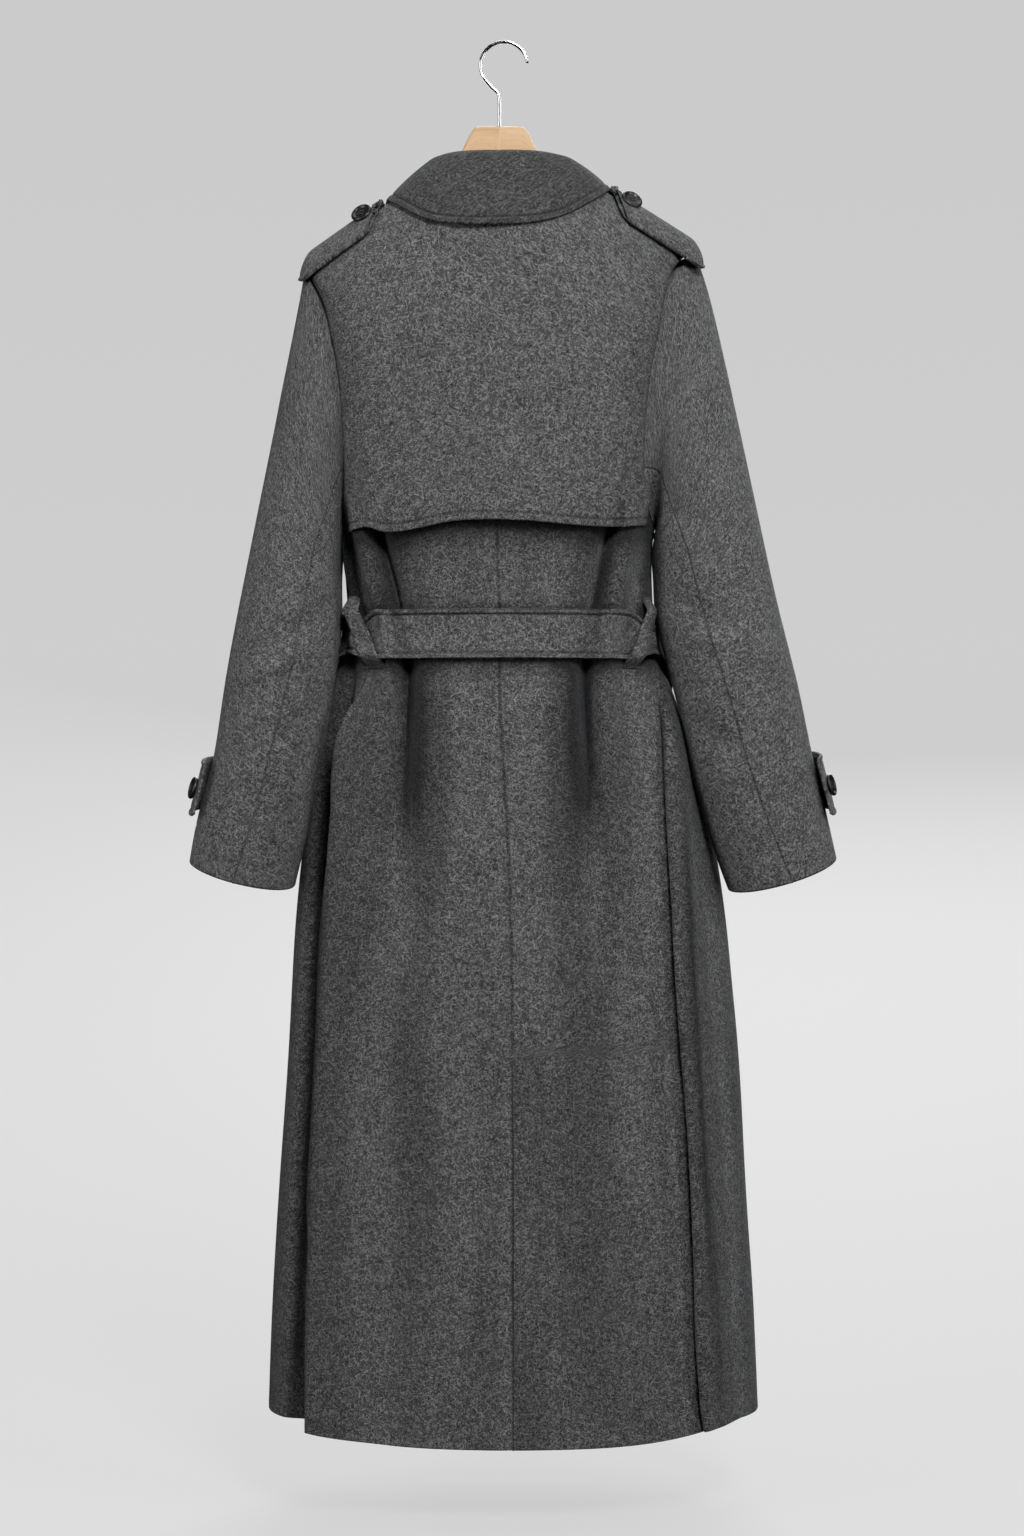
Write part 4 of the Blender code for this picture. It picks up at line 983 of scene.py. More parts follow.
def thread_finish(looks):
    """Twisted thread: slanted bands of light and shade with a soft sheen."""
    f = Finish("thread")
    place = f.surface(uv=False)
    grain = f.noise(place, 2200.0, 2.0, 0.6)
    f.link(f.ramp(grain, (0.3, looks.thread_dark), (0.7, looks.thread_pale)), "Base Color")
    f.set(roughness=0.7, sheen_weight=0.15, specular_ior_level=0.3)
    f.link(f.bump(grain, 0.0002, 0.5), "Normal")


def horn_finish(looks):
    """Polished dark horn: cloudy streaks under a glossy skin with fine wear."""
    f = Finish("horn")
    place = f.surface(uv=False)
    streak = f.noise(place, 130.0, 4.0, 0.6, 1.4)
    stops = ((0.35, looks.horn_dark), (0.62, looks.horn_dark), (0.78, looks.horn_pale))
    f.link(f.ramp(streak, *stops), "Base Color")
    scuff = f.noise(place, 900.0, 3.0, 0.6)
    f.link(f.curve(scuff, 0.3, 0.7, 0.28, 0.46), "Roughness")
    f.set(specular_ior_level=0.5, coat_weight=0.12, coat_roughness=0.25)
    f.link(f.bump(scuff, 0.00012, 0.25), "Normal")


def beech_finish(looks):
    """Beech: long fibres along the arm, pale pores as short dashes, growth bands and a satin lacquer."""
    f = Finish("beech")
    uv = f.surface()
    bands = f.noise(f.stretched(uv, 0.0, 4.0, 95.0).outputs[0], 1.0, 3.0, 0.55, 0.6)
    fibres = f.noise(f.stretched(uv, 0.0, 30.0, 900.0).outputs[0], 1.0, 3.0, 0.6)
    flecks = f.noise(f.stretched(uv, 0.06, 160.0, 700.0).outputs[0], 1.0, 1.0, 0.5)
    base = f.ramp(bands, (0.30, looks.beech_dark), (0.50, looks.beech_mid), (0.72, looks.beech_pale))
    base = f.mix(f.curve(fibres, 0.35, 0.65, 0.0, 0.45), base, looks.beech_pale)
    base = f.mix(f.curve(flecks, 0.60, 0.74, 0.0, 0.5), base, looks.beech_dark)
    f.link(base, "Base Color")
    f.link(f.curve(fibres, 0.3, 0.7, 0.36, 0.52), "Roughness")
    f.set(coat_weight=0.15, coat_roughness=0.3)
    f.link(f.bump(f.math("MULTIPLY_ADD", flecks, -0.6, fibres), 0.0002, 0.35), "Normal")


def chrome_finish(looks):
    """Chrome wire: bright plate with faint drawing marks and a little uneven polish."""
    f = Finish("chrome")
    place = f.surface(uv=False)
    marks = f.noise(f.stretched(place, 0.0, 900.0, 900.0).outputs[0], 1.0, 2.0, 0.5)
    f.link(f.ramp(marks, (0.3, looks.chrome_dark), (0.7, looks.chrome_pale)), "Base Color")
    f.link(f.curve(marks, 0.3, 0.7, 0.10, 0.22), "Roughness")
    f.set(metallic=1.0)
    f.link(f.bump(marks, 0.00005, 0.2), "Normal")


def studio_finish(looks):
    """Matt paper of the backdrop, a little paler towards the floor, with a barely visible tooth."""
    f = Finish("studio")
    place = f.surface(uv=False)
    height = f.node("SeparateXYZ", {"Vector": place}).outputs["Z"]
    stops = ((0.0, looks.studio_low), (0.4, looks.studio_mid), (1.0, looks.studio_top))
    f.link(f.ramp(f.curve(height, -1.46, 1.2), *stops), "Emission Color")
    f.set(roughness=0.95, specular_ior_level=0.1, emission_strength=1.0)
    f.shader.inputs["Base Color"].default_value = (0.13, 0.13, 0.13, 1.0)
    f.link(f.bump(f.noise(place, 260.0, 2.0), 0.0002, 0.1), "Normal")


# ---- pieces ---------------------------------------------------------------------------------------
def body_relief(side, face, x, z, looks):
    """Creases and slow unevenness of a body panel; the same on both sides of each seam."""
    fade = ramp((-150 - z) / 80) * (0.55 + 0.45 * ramp((-560 - z) / 200))
    return looks.crease_depth * crease_relief(CREASES, z, side * x, side, face) \
        + looks.unevenness / MM * wander(x + 40 * face, z, 1.0) * fade


def panel_points(side, front, across, shares, lower):
    """Grid of a panel: shares run down from the top edge to the underarm, lower from there to the hem."""
    base, neck_z, point_z = UNDERARM_Z, SHOULDERS[side].neck_z, SHOULDERS[side].point_z
    share = np.concatenate([shares, np.zeros(len(lower))])[:, None]
    down = np.concatenate([np.zeros(len(shares)), lower])[:, None]
    edge_z = base + (point_z - base) * share + (HEM_SIDE - base) * down
    outer = edge_angle(side, front, edge_z)
    if front:
        inner_z = base + (neck_z - base) * share + (HEM_SIDE - base) * down
        half, centre = column(BODY, "half", inner_z), column(BODY, "centre", inner_z)
        inner = np.pi - np.arcsin((opening(inner_z) - side * centre) / half)
    else:
        inner = np.full_like(outer, 0.05 / 180)
        if side == RIGHT:
            inner = inner - ramp((VENT_TOP + 6 - edge_z) / 12.0) * VENT_UNDER / 215
    angle = inner + across[None, :] * (outer - inner)
    hem_middle = HEM_FRONT if front else HEM_BACK
    hem = hem_middle + (HEM_SIDE - hem_middle) * ramp(1.6 * (1 - np.abs(np.cos(angle))))
    z = np.broadcast_to(edge_z, angle.shape).copy()
    for _ in range(4):
        x, _y = section(side, angle, z)
        top = np.minimum(shoulder_z(side, x), neck_z) if front else top_z(side, x)
        z = base + (top - base) * share + (hem - base) * down
    lift = front_layer(side, angle) if front else 0.0
    if side == RIGHT and not front:
        sunk = ramp((2.5 / 215 - angle) * 215 / 6.0) * ramp((VENT_TOP + 2 - z) / 30.0)
        lift = -(WALL + 1.4) * sunk
    points = body(side, angle, z, lift)
    points[..., 1] += 0.2 * share * (1 if front else -1)
    return points


def skin_line(side, face, path, looks, count=240, rise=0.0):
    """Line over a body panel through (z, x) places, with its outward ways, for stitching."""
    zs = np.linspace(path[0][0], path[-1][0], count)
    order = sorted(path)
    xs = spline([p[0] for p in order], [p[1] for p in order], zs) if len(path) > 2 else np.interp(
        zs, [order[0][0], order[1][0]], [order[0][1], order[1][1]])
    centre, half = column(BODY, "centre", zs), column(BODY, "half", zs)
    angle = np.arcsin(np.clip((xs - side * centre) / half, -0.999, 0.999))
    if face == FRONT:
        angle = np.pi - angle
    relief = body_relief(side, face, side * xs, zs, looks) + rise
    here = body(side, angle, zs, relief)
    along = body(side, angle + 0.01, zs, relief) - here
    down = body(side, angle, zs - 1.0, relief) - here
    return here, unit(np.cross(along, down)) * side


def make_body(looks):
    """Back and front panels, each from the hem to the shoulder line."""
    lines = []
    shares = 1 - spaced(330.0, ROW_STEP, (3.0, 3.0, 1.5))
    length = UNDERARM_Z - HEM_SIDE
    lower = spaced(length, ROW_STEP, (UNDERARM_Z + 992, 6, 1.2), (length - 3, 3, 1.5))[1:]
    for side in (LEFT, RIGHT):
        for front in (False, True):
            width = 290.0 if front else 240.0
            marks = ((EDGE_STITCH, 3.0, 0.8), (3.0, 3.0, 1.5)) if front else ((2.0, 2.0, 1.0),)
            across = spaced(width, COLUMN_STEP, *marks, (width - 2.0, 2.0, 1.0))
            points = panel_points(side, front, across, shares, lower)
            face = FRONT if front else BACK
            outward = side * (-1 if front else 1)
            x, z = points[..., 0], points[..., 2]
            relief = body_relief(side, face, x, z, looks)
            if front:
                relief = relief + hem_relief(points, ("left",)) + seam_relief(points, ("right",))
            else:
                relief = relief + seam_relief(points, ("left",)) * (z > VENT_TOP)
                relief = relief + seam_relief(points, ("right",))
            # painted shade in the folds and painted shadow under the flap and the belt; on a front, painted
            # shade in the groove of its edge stitching
            dark = shade(side, face, x, z)
            if front:
                dark = dark + hem_shade(points, ("left",))
            elif side == LEFT:
                way = from_border(points, "left")
                # painted shade: a dark line along the left panel's middle edge below the vent's top, where it
                # overlaps the vent
                dark = dark + 0.9 * np.exp(-(way / 1.3) ** 2) * (z < VENT_TOP)
                relief = relief + 1.2 * ramp(1 - way / 12.0) * ramp((VENT_TOP - z) / 20.0)
            name = ("front_" if front else "back_") + side_name(side)
            lines += piece(name, points, outward, ["hanger_left", "hanger_right"], ("left",) if front else (),
                           relief=relief, offset=311 * (face + 2 * side),
                           sewn=("right",) if front else ("left", "right"), dark=dark)
    seam = [(max(z, -1356), x + 13.0) for z, x in RIGHT_EDGE if z < -660]
    lines.append(skin_line(RIGHT, BACK, seam, looks))
    stitches("body_stitching", lines)
    tack = skin_line(LEFT, BACK, ((-990.5, 1.0), (-994.0, 42.0)), looks, 60)
    stitches("vent_bar_tack", [tack], thick=1.0, long=3.4)


def make_storm_flap():
    """Flap over the upper back, in one piece from side to side."""
    edge_x, edge_z = zip(*FLAP_EDGE)
    share = (1 - spaced(340.0, ROW_STEP, (332.0, 4.0, 0.8), (337.0, 3.0, 1.5)))[:, None]
    u = spaced(330.0, COLUMN_STEP, (EDGE_STITCH, 3.0, 0.8), (330 - EDGE_STITCH, 3.0, 0.8))[None, :]
    points = []
    for side in (LEFT, RIGHT):
        part = np.abs(2 * u - 1)
        corner = edge_z[0] if side == LEFT else edge_z[-1]
        arm_z = np.maximum(corner + (SHOULDERS[side].point_z - corner) * share, FLAP_ARM_Z)
        wider = (0.035 if side == LEFT else 0.075) * ramp(1 - share / 0.14)
        angle = part * (arm_angle(side, arm_z) + 0.4 * ARM_GAP / 130 + wider)
        z = np.full(angle.shape, corner)
        for _ in range(4):
            x, _y = section(side, angle, z)
            free = spline(edge_x, edge_z, x)
            z = free + (top_z(side, x) - free) * share
        loose = (1 - share) ** 2 * (1 - part ** 4)
        caught = ramp((part - 0.93) / 0.07) * ramp(share / 0.2)
        lift = FLAP_LIFT_TOP - 3.0 * caught + (FLAP_LIFT_EDGE + 3.0 - FLAP_LIFT_TOP) * loose
        points.append(body(side, angle, z, lift, taut=True) - (0.0, 0.8, 0.0))
    points = np.where((u < 0.5)[..., None], points[0], points[1])
    x, z = points[..., 0], points[..., 2]
    way = from_border(points, "bottom")
    ripple = 2.2 * np.exp(-way / 45.0) * np.sin(x / 26.0 + 0.8) + 0.8 * wander(x, z, 2.0)
    calm = ramp(np.minimum(from_border(points, "left"), from_border(points, "right")) / 40.0)
    relief = ripple * calm * ramp(from_border(points, "top") / 60.0) + hem_relief(points, ("bottom",))
    relief = relief + 2.6 * np.exp(-((x + 128 + (z + 490) * 0.10) / 7.0) ** 2) * np.exp(-way / 60.0)
    relief = relief + 3.4 * np.exp(-((x - 96 - (z + 490) * 0.22) / 8.0) ** 2) * np.exp(-way / 90.0)
    # painted shade: in the groove of the hem stitching, and darker towards the flap's two sides
    side_way = np.minimum(from_border(points, "left"), from_border(points, "right"))
    made, points, normal = shell("coat_storm_flap", points, -1, relief=relief, offset=905,
                                 sewn=("left", "right", "top"),
                                 dark=hem_shade(points, ("bottom",)) + 0.25 * np.exp(-(side_way / 32.0) ** 2))
    sewn = stitches("flap_stitching", [inset_line(points, normal, "bottom", trim=2.0)])
    sheet(["storm_flap"])


def make_sleeves(looks):
    """Upper and under sleeve on each side."""
    lines = []
    v = spaced(620.0, ROW_STEP, (584.0, 3.0, 0.8), (617.0, 3.0, 1.5))[:, None]
    for side in (LEFT, RIGHT):
        for part in ("upper", "under"):
            u = spaced(250.0, COLUMN_STEP, (2.0, 2.0, 1.0), (248.0, 2.0, 1.0))[None, :]
            gap = 0.05 / 55
            if part == "upper":
                low, high = -seam_turn(FRONT_SEAM, v) + gap, seam_turn(BACK_SEAM, v) - gap
            else:
                low, high = seam_turn(BACK_SEAM, v) + gap, 2 * np.pi - seam_turn(FRONT_SEAM, v) - gap
            turn = low + (high - low) * u
            place = np.broadcast_to(v, turn.shape)
            points = over_grid(lambda t, p: sleeve_point(side, t, p), turn, place)
            middle = np.array([0.0, 5.0, -355.0])
            inward = unit((middle - points[:1]) * (0, 1, 1))
            tucks = [points[:1] - (side * reach, 0, 0) + inward * deep
                     for reach, deep in ((13.0, 7.0), (5.0, 4.0))]
            points = np.concatenate(tucks + [points])
            turn = np.concatenate([turn[:1], turn[:1], turn])
            down = np.concatenate([-0.1 + 0 * place[:1], -0.05 + 0 * place[:1], place]) * 624.0
            round_way = np.degrees((turn + np.pi) % (2 * np.pi) - np.pi)
            outward = -1 if side == LEFT else 1
            sewn = ramp(down / 30.0)
            relief = 1.9 * looks.crease_depth * crease_relief(ARM_CREASES, down, round_way, side, BACK)
            relief = (relief + 1.1 * wander(round_way, down, 3.0 + side)) * sewn
            relief = relief + seam_relief(points, ("left", "right"))
            relief = relief - 0.8 * np.exp(-((from_border(points, "bottom") - CUFF_STITCH) / 1.2) ** 2)
            name = f"sleeve_{side_name(side)}_{part}"
            lines += piece(name, points, outward, ["back_" + side_name(side), "front_" + side_name(side)],
                           ("bottom",), CUFF_STITCH, 1.0, relief=relief, offset=177 * (side + 3),
                           sewn=("left", "right", "top"))
    stitches("cuff_stitching", lines)


def make_collar():
    """Fall and stand of the collar, and the two lapels."""
    across = spaced(430.0, 2.6, (3, 3, 1.5), (EDGE_STITCH, 3, 0.8), (430 - EDGE_STITCH, 3, 0.8),
                    (427, 3, 1.5))[None, :]
    down = spaced(86.0, 2.6, (3, 3, 1.0), (86 - EDGE_STITCH, 3, 0.8), (83, 3, 1.5))[:, None]
    points = over_grid(collar_point, across, down)
    free = ("bottom", "left", "right")
    relief = hem_relief(points, free) + 0.7 * wander(points[..., 0], points[..., 2] * 2, 5.0)
    relief = relief - 2.2 * ramp(1 - from_border(points, "top") / 7.0) ** 2
    # painted shade in the groove of the edge stitching; the whole fall is also darker by a fixed 0.55
    made, points, normal = shell("coat_collar_fall", points, -1, wall=COLLAR_WALL, relief=relief, offset=1300,
                                 dark=0.55 + hem_shade(points, free))
    sewn = stitches("collar_stitching", [inset_line(points, normal, border) for border in free])
    sheet(["collar_fall"])
    band = spaced(28.0, 2.6)[:, None]
    shape = np.broadcast(across, band).shape
    u, v = (np.broadcast_to(a, shape).ravel() for a in (across, band))
    table = np.array(COLLAR, float)
    foot = spline(np.linspace(0, 1, len(COLLAR)), table, u)[:, 6:]
    roll = collar_point(u, np.zeros_like(u))
    inward = unit(roll * (1, 1, 0))
    points = (roll - inward * 2.4 - (0, 0, 0.6)) * (1 - v[:, None]) + foot * v[:, None]
    points = points + inward * (3.0 * v * (1 - v))[:, None]
    piece("collar_stand", points.reshape(shape + (3,)), -1, ["back_left", "back_right"], offset=1500)
    lines = []
    for side, bottom in ((LEFT, LAPEL_LEFT_BOTTOM), (RIGHT, LAPEL_RIGHT_BOTTOM)):
        u = spaced(LAPEL_TOP - bottom, 3.0, (EDGE_STITCH, 3, 0.8))[None, :]
        v = spaced(90.0, 2.8, (90 - EDGE_STITCH, 3, 0.8), (87, 3, 1.5))[:, None]
        z = bottom + (LAPEL_TOP - bottom) * u
        roll = opening(z) + 1.0
        if side == LEFT:
            roll = np.maximum(roll, 9.0 - opening(z))
        edge = -OVERLAP + (LAPEL_PEAK + OVERLAP) * (z - BREAK_Z) / (LAPEL_TOP - BREAK_Z)
        along = roll + np.maximum(edge - roll, 4.0) * v
        z = z + 16.0 * v * u ** 2
        half, centre = column(BODY, "half", z), column(BODY, "centre", z)
        angle = np.pi - np.arcsin((along - side * centre) / half)
        lift = front_layer(side, angle) + LAPEL_LIFT[side] + 5.0 * v * (1 - v)
        points = body(side, angle, z, lift)
        free = ("bottom", "right")
        relief = hem_relief(points, free) - 2.0 * ramp(1 - from_border(points, "top") / 6.0) ** 2
        # painted shade in the groove of the edge stitching
        lines += piece("lapel_" + side_name(side), points, -side, ["front_" + side_name(side)], free,
                       wall=LAPEL_WALL, relief=relief, offset=1700 + 90 * side, dark=hem_shade(points, free))
    stitches("lapel_stitching", lines)


def make_straps():
    """Shoulder straps and cuff straps."""
    lines = []
    for side in (LEFT, RIGHT):
        inner, outer = STRAP_ENDS[side]
        u = spaced(105.0, 2.4, (102, 3, 1.0), (97.0, 3, 0.8))[None, :]
        v = spaced(62.0, 2.2, (3, 3, 1.0), (7, 3, 0.8), (55, 3, 0.8), (59, 3, 1.0))[:, None]
        narrow = np.sqrt(np.maximum(0.02, 1 - np.clip((u - 0.86) / 0.143, 0, 1) ** 2))
        narrow = narrow * np.sqrt(1 - 0.5 * np.clip(1 - u / 0.14, 0, 1) ** 2)
        across = (2 * v - 1) * narrow
        along = outer + (inner - outer) * u + 0 * v
        lift = STRAP_LIFT + 1.5 + 1.5 * across ** 2
        points = over_grid(lambda a, c, up: shoulder_strap_point(side, a, c, up), along, across, lift)
        rolled = np.clip(1 - u / 0.16, 0, 1) ** 2 + 0 * v
        points = points - rolled[..., None] * (2.0 * side, 0, 9.0)
        free = ("top", "bottom", "right")
        relief = hem_relief(points, free, STRAP_STITCH, 0.8, 0.8)
        relief = relief + 0.5 * wander(points[..., 0], points[..., 1], 6)
        # painted shade in the groove of the stitching; the whole strap is also darker by a fixed 0.12
        lines += piece("shoulder_strap_" + side_name(side), points, side,
                       ["storm_flap", "back_" + side_name(side)], ("top", "bottom"), STRAP_STITCH, 3.0,
                       wall=SHOULDER_STRAP_WALL, relief=relief, offset=2000 + 120 * side,
                       dark=0.12 + hem_shade(points, free, STRAP_STITCH))

        u = spaced(150.0, 2.4, (2, 3, 1.0), (6.0, 3, 0.8))[None, :]
        v = spaced(50.0, 2.2, (3, 3, 1.0), (6, 3, 0.8), (44, 3, 0.8), (47, 3, 1.0))[:, None]
        turn = np.radians(CUFF_STRAP_START + (CUFF_STRAP_END - CUFF_STRAP_START) * u) + 0 * v
        corner = 1 - 0.16 * (1 - np.sqrt(1 - np.clip(1 - u * 150.0 / 8.0, 0, 1) ** 2))
        place = CUFF_STRAP_PLACE + CUFF_STRAP_SPAN * (v - 0.5) * corner
        base = over_grid(lambda t, p: sleeve_point(side, t, p), turn, place)
        lift = CUFF_STRAP_LIFT + CUFF_STRAP_STANDS_OFF * (1 - ramp(u / 0.35)) + 0 * v
        out = np.stack([side * np.cos(turn), -np.sin(turn), np.zeros_like(turn)], axis=-1)
        points = base + out * lift[..., None]
        free = ("top", "bottom", "left")
        sleeve = f"sleeve_{side_name(side)}_upper"
        # painted shade in the groove of the stitching
        lines += piece("cuff_strap_" + side_name(side), points, -side, [sleeve], free,
                       STRAP_STITCH, STRAP_STITCH, wall=CUFF_STRAP_WALL, offset=2300 + 120 * side,
                       relief=hem_relief(points, free, STRAP_STITCH, 0.8, 0.8),
                       dark=hem_shade(points, free, STRAP_STITCH))
    stitches("strap_stitching", lines, pitch=3.2, long=2.3)


def belt_relief(points, seed):
    """Uneven surface of the belt, with the dent of its stitching near both edges."""
    folds = 0.9 * wander(points[..., 0] * 1.6, points[..., 2] * 2.4, seed)
    return folds + hem_relief(points, ("top", "bottom"), BELT_GROOVE, 1.0, 1.7)


def make_belt():
    """Back of the belt, its two front stretches and the loops."""
    split = {side: np.radians(LOOP_ANGLE[side] + 7) for side in (LEFT, RIGHT)}
    v = (1 - spaced(48.0, 2.2, (3, 3, 1.0), (6, 3, 0.8), (42, 3, 0.8), (45, 3, 1.0)))[:, None]
    u = spaced(300.0, 2.8)[None, :]
    part = np.abs(2 * u - 1)
    points = []
    for side in (LEFT, RIGHT):
        gather = ramp((part - 0.72) / 0.24)
        tall = 0.5 + (v - 0.5) * (1.04 - 0.42 * gather) - 0.08 * gather
        lift = BELT_LIFT + BELT_STANDS_OFF + 3.0 * gather * np.sin(np.pi * v)
        points.append(belt_point(side, part * split[side] + 0 * v, tall, lift))
    points = np.where((u < 0.5)[..., None], points[0], points[1])
    lines = []
    edges = ("top", "bottom")
    # painted shade in the groove of the stitching near both edges
    lines += piece("belt_back", points, -1, ["belt_loop_left", "belt_loop_right"], edges, STRAP_STITCH, 2.0,
                   wall=BELT_WALL + BELT_BACK_EXTRA, relief=belt_relief(points, 7.0), offset=2600,
                   dark=hem_shade(points, edges, BELT_GROOVE))
    for side in (LEFT, RIGHT):
        name = "belt_" + side_name(side)
        start, end = split[side] + 0.008, np.pi - np.arcsin(KNOT_HALF / 178)
        u = spaced(230.0, 2.8)[None, :]
        gather = 1 - ramp(u / 0.12)
        tall = 0.5 + (v - 0.5) * (1.0 - 0.38 * gather) - 0.08 * gather
        lift = BELT_LIFT + BELT_STANDS_OFF + 1.0 * ramp(u / 0.3)
        points = belt_point(side, start + (end - start) * u + 0 * v, tall, lift)
        # painted shade in the groove of the stitching near both edges
        lines += piece(name, points, outward_of(points), ["belt_loop_" + side_name(side)], edges,
                       STRAP_STITCH, 2.0, wall=BELT_WALL, relief=belt_relief(points, 8.0 + side),
                       offset=2800 + 90 * side,
                       dark=hem_shade(points, edges, BELT_GROOVE))
        rows = (1 - spaced(LOOP_HEIGHT, 1.6))[:, None]
        cols = spaced(LOOP_WIDTH, 1.5)[None, :]
        arch = ramp(rows / 0.22) * ramp((1 - rows) / 0.22)
        angle = np.radians(LOOP_ANGLE[side]) + (cols - 0.5) * LOOP_WIDTH / 74
        angle = angle + LOOP_SLANT * (1.5 * rows - 1.0)
        z = BELT_Z + LOOP_HEIGHT * (0.9 * rows - 0.42) + 0 * angle
        points = body(side, angle, z, 2.8 + (LOOP_RISE + 2.4) * arch + 0 * angle)
        relief = 1.6 * np.sin(np.pi * cols) ** 0.7 + 0 * angle
        # painted shade: darker towards the loop's lower end
        piece("belt_loop_" + side_name(side), points, outward_of(points), ["back_" + side_name(side)],
              wall=LOOP_WALL, relief=relief, offset=3000 + 60 * side,
              dark=0.9 * ramp((0.2 - rows) / 0.14) + 0 * cols)
    stitches("belt_stitching", lines)


def outward_of(points):
    """1 or -1, whichever turns the grid's own normals away from the middle of the coat."""
    normal = normals_of(points, 1)
    return 1 if ((points * (1, 1, 0)) * normal).sum() > 0 else -1


def make_knot():
    """Knot and the two hanging ends of the belt."""
    centre = knot_centre()
    u = np.linspace(0, 2 * np.pi, 97)[None, :-1]
    v = np.linspace(0.02, np.pi - 0.02, 60)[:, None]
    wrap = 1 + 0.07 * np.cos(3 * (u + 1.2 * v)) + 0.03 * np.cos(7 * u - 2 * v)
    x = KNOT_HALF * 0.97 * np.sign(np.cos(v)) * np.abs(np.cos(v)) ** 0.8 + 0 * u
    y = KNOT_DEPTH / 2 * np.sin(v) ** 0.7 * np.cos(u) * wrap
    z = KNOT_HEIGHT / 2 * np.sin(v) ** 0.6 * np.sin(u) * wrap
    lean = 0.22
    verts = np.stack([x * np.cos(lean) - z * np.sin(lean), y, x * np.sin(lean) + z * np.cos(lean)], axis=-1)
    verts = (verts * (0.93, 1, 0.93) + centre).reshape(-1, 3)
    index, quads = ring_faces(len(v), u.shape[1])
    quads = quads[:, ::-1]
    uv = np.stack([u + 0 * v, v + 0 * u], axis=-1).reshape(-1, 2) * 28 + 3300
    faces = [quads, index[:1], index[-1:, ::-1]]
    made = put_mesh("coat_belt_knot", verts, faces, FINISHES["wool"], uv)
    fix_normals(made)
    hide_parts("belt_knot")
    lines = []
    v = (1 - spaced(48.0, 2.4, (3, 3, 1.0), (6, 3, 0.8), (42, 3, 0.8), (45, 3, 1.0)))[:, None]
    for name, lean, length, start_x, lift in BELT_ENDS:
        down = spaced(length, 3.4, (length - 3, 3, 1.5))[None, :]
        width = BELT_WIDTH * (0.62 + 0.38 * ramp(down / 0.22))
        sway = 3.5 * np.sin(down * 5.0 + start_x) * down
        x = centre[0] + start_x + lean * down + (v - 0.5) * width + sway
        point = 12.0 * (1 - np.abs(2 * v - 1)) * ramp((down - 0.9) / 0.1)
        z = centre[2] - KNOT_HEIGHT / 2 + 1.6 - length * down - point
        half, middle = column(BODY, "half", z), column(BODY, "centre", z)
        points = body(RIGHT, np.pi - np.arcsin((x - middle) / half), z, FRONT_LAYER + lift)
        free = ("top", "bottom", "right")
        relief = hem_relief(points, free, STRAP_STITCH, 0.9, 0.9)
        relief = relief + 0.8 * wander(x * 2, z, start_x) * ramp(down * 4)
        lines += piece(name, points, outward_of(points), ["belt_knot"], free, STRAP_STITCH, STRAP_STITCH,
                       wall=BELT_WALL, relief=relief, offset=3500 + 4 * start_x)
    stitches("belt_end_stitching", lines)


def fix_normals(made):
    """Turns the faces of a closed piece outwards if its volume comes out negative."""
    mesh = made.data
    co = np.empty(len(mesh.vertices) * 3)
    mesh.vertices.foreach_get("co", co)
    co = co.reshape(-1, 3) - co.reshape(-1, 3).mean(axis=0)
    mesh.calc_loop_triangles()
    tris = np.empty(len(mesh.loop_triangles) * 3, np.int32)
    mesh.loop_triangles.foreach_get("vertices", tris)
    a, b, c = (co[tris.reshape(-1, 3)[:, k]] for k in range(3))
    if (np.cross(a, b) * c).sum() < 0:
        mesh.flip_normals()


def make_button(name, place, facing, radius, replaced):
    """Four-hole button: a turned profile whose middle sinks into four round holes, and two thread bars."""
    outline = np.array([(0.01, 2.1), (0.50, 2.15), (0.60, 2.3), (0.68, 2.9), (0.74, 3.4), (0.82, 3.65),
                        (0.90, 3.5), (0.97, 2.9), (1.0, 2.1), (1.0, 1.2), (0.97, 0.5), (0.90, 0.1),
                        (0.6, 0.0), (0.01, 0.0)])
    knots = np.linspace(0, 1, len(outline))
    profile = spline(knots, outline, np.linspace(0, 1, 64))
    fine = np.stack([np.linspace(0.01, 0.5, 30), np.full(30, 2.1)], axis=1)
    profile = np.concatenate([fine[:-1], profile[6:]])
    angle = np.arange(72) * 2 * np.pi / 72
    r, h = profile[:, :1] * radius, profile[:, 1:]
    x, y = r * np.cos(angle), r * np.sin(angle)
    hole = np.zeros_like(x)
    for k in range(4):
        turn = np.pi / 4 + k * np.pi / 2
        off = np.hypot(x - 0.25 * radius * np.cos(turn), y - 0.25 * radius * np.sin(turn))
        hole = np.maximum(hole, ramp((0.105 * radius - off) / (0.05 * radius) + 0.5))
    z = h - 1.7 * hole * (np.arange(len(profile)) < 40)[:, None]
    local = np.stack([x, y, z], axis=-1)
    facing = unit(np.asarray(facing, float))
    across = unit(np.cross((0, 0, 1.0) if abs(facing[2]) < 0.9 else (0, 1.0, 0), facing))
    axes = np.stack([across, np.cross(facing, across), facing])
    index, quads = ring_faces(*x.shape)
    verts = local.reshape(-1, 3) @ axes + place
    faces = [quads, index[:1], index[-1:, ::-1]]
    made = put_mesh("coat_" + name, verts, faces, FINISHES["horn"])
    fix_normals(made)
    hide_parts(replaced)
    bars = []
    for shift in (-1, 1):
        for lane in (-0.35, 0.35):
            t = np.linspace(-1, 1, 13)
            y = np.full(13, shift * 0.175 * radius + lane)
            route = np.stack([t * 0.2 * radius, y, 2.5 - 1.3 * t ** 4], axis=1)
            verts, quads, ends = tube(route @ axes + place, 0.33, 8)
            bars.append((verts, [quads, *ends]))
    verts, faces = join(bars)
    fix_normals(put_mesh(name + "_thread", verts, faces, FINISHES["thread"]))


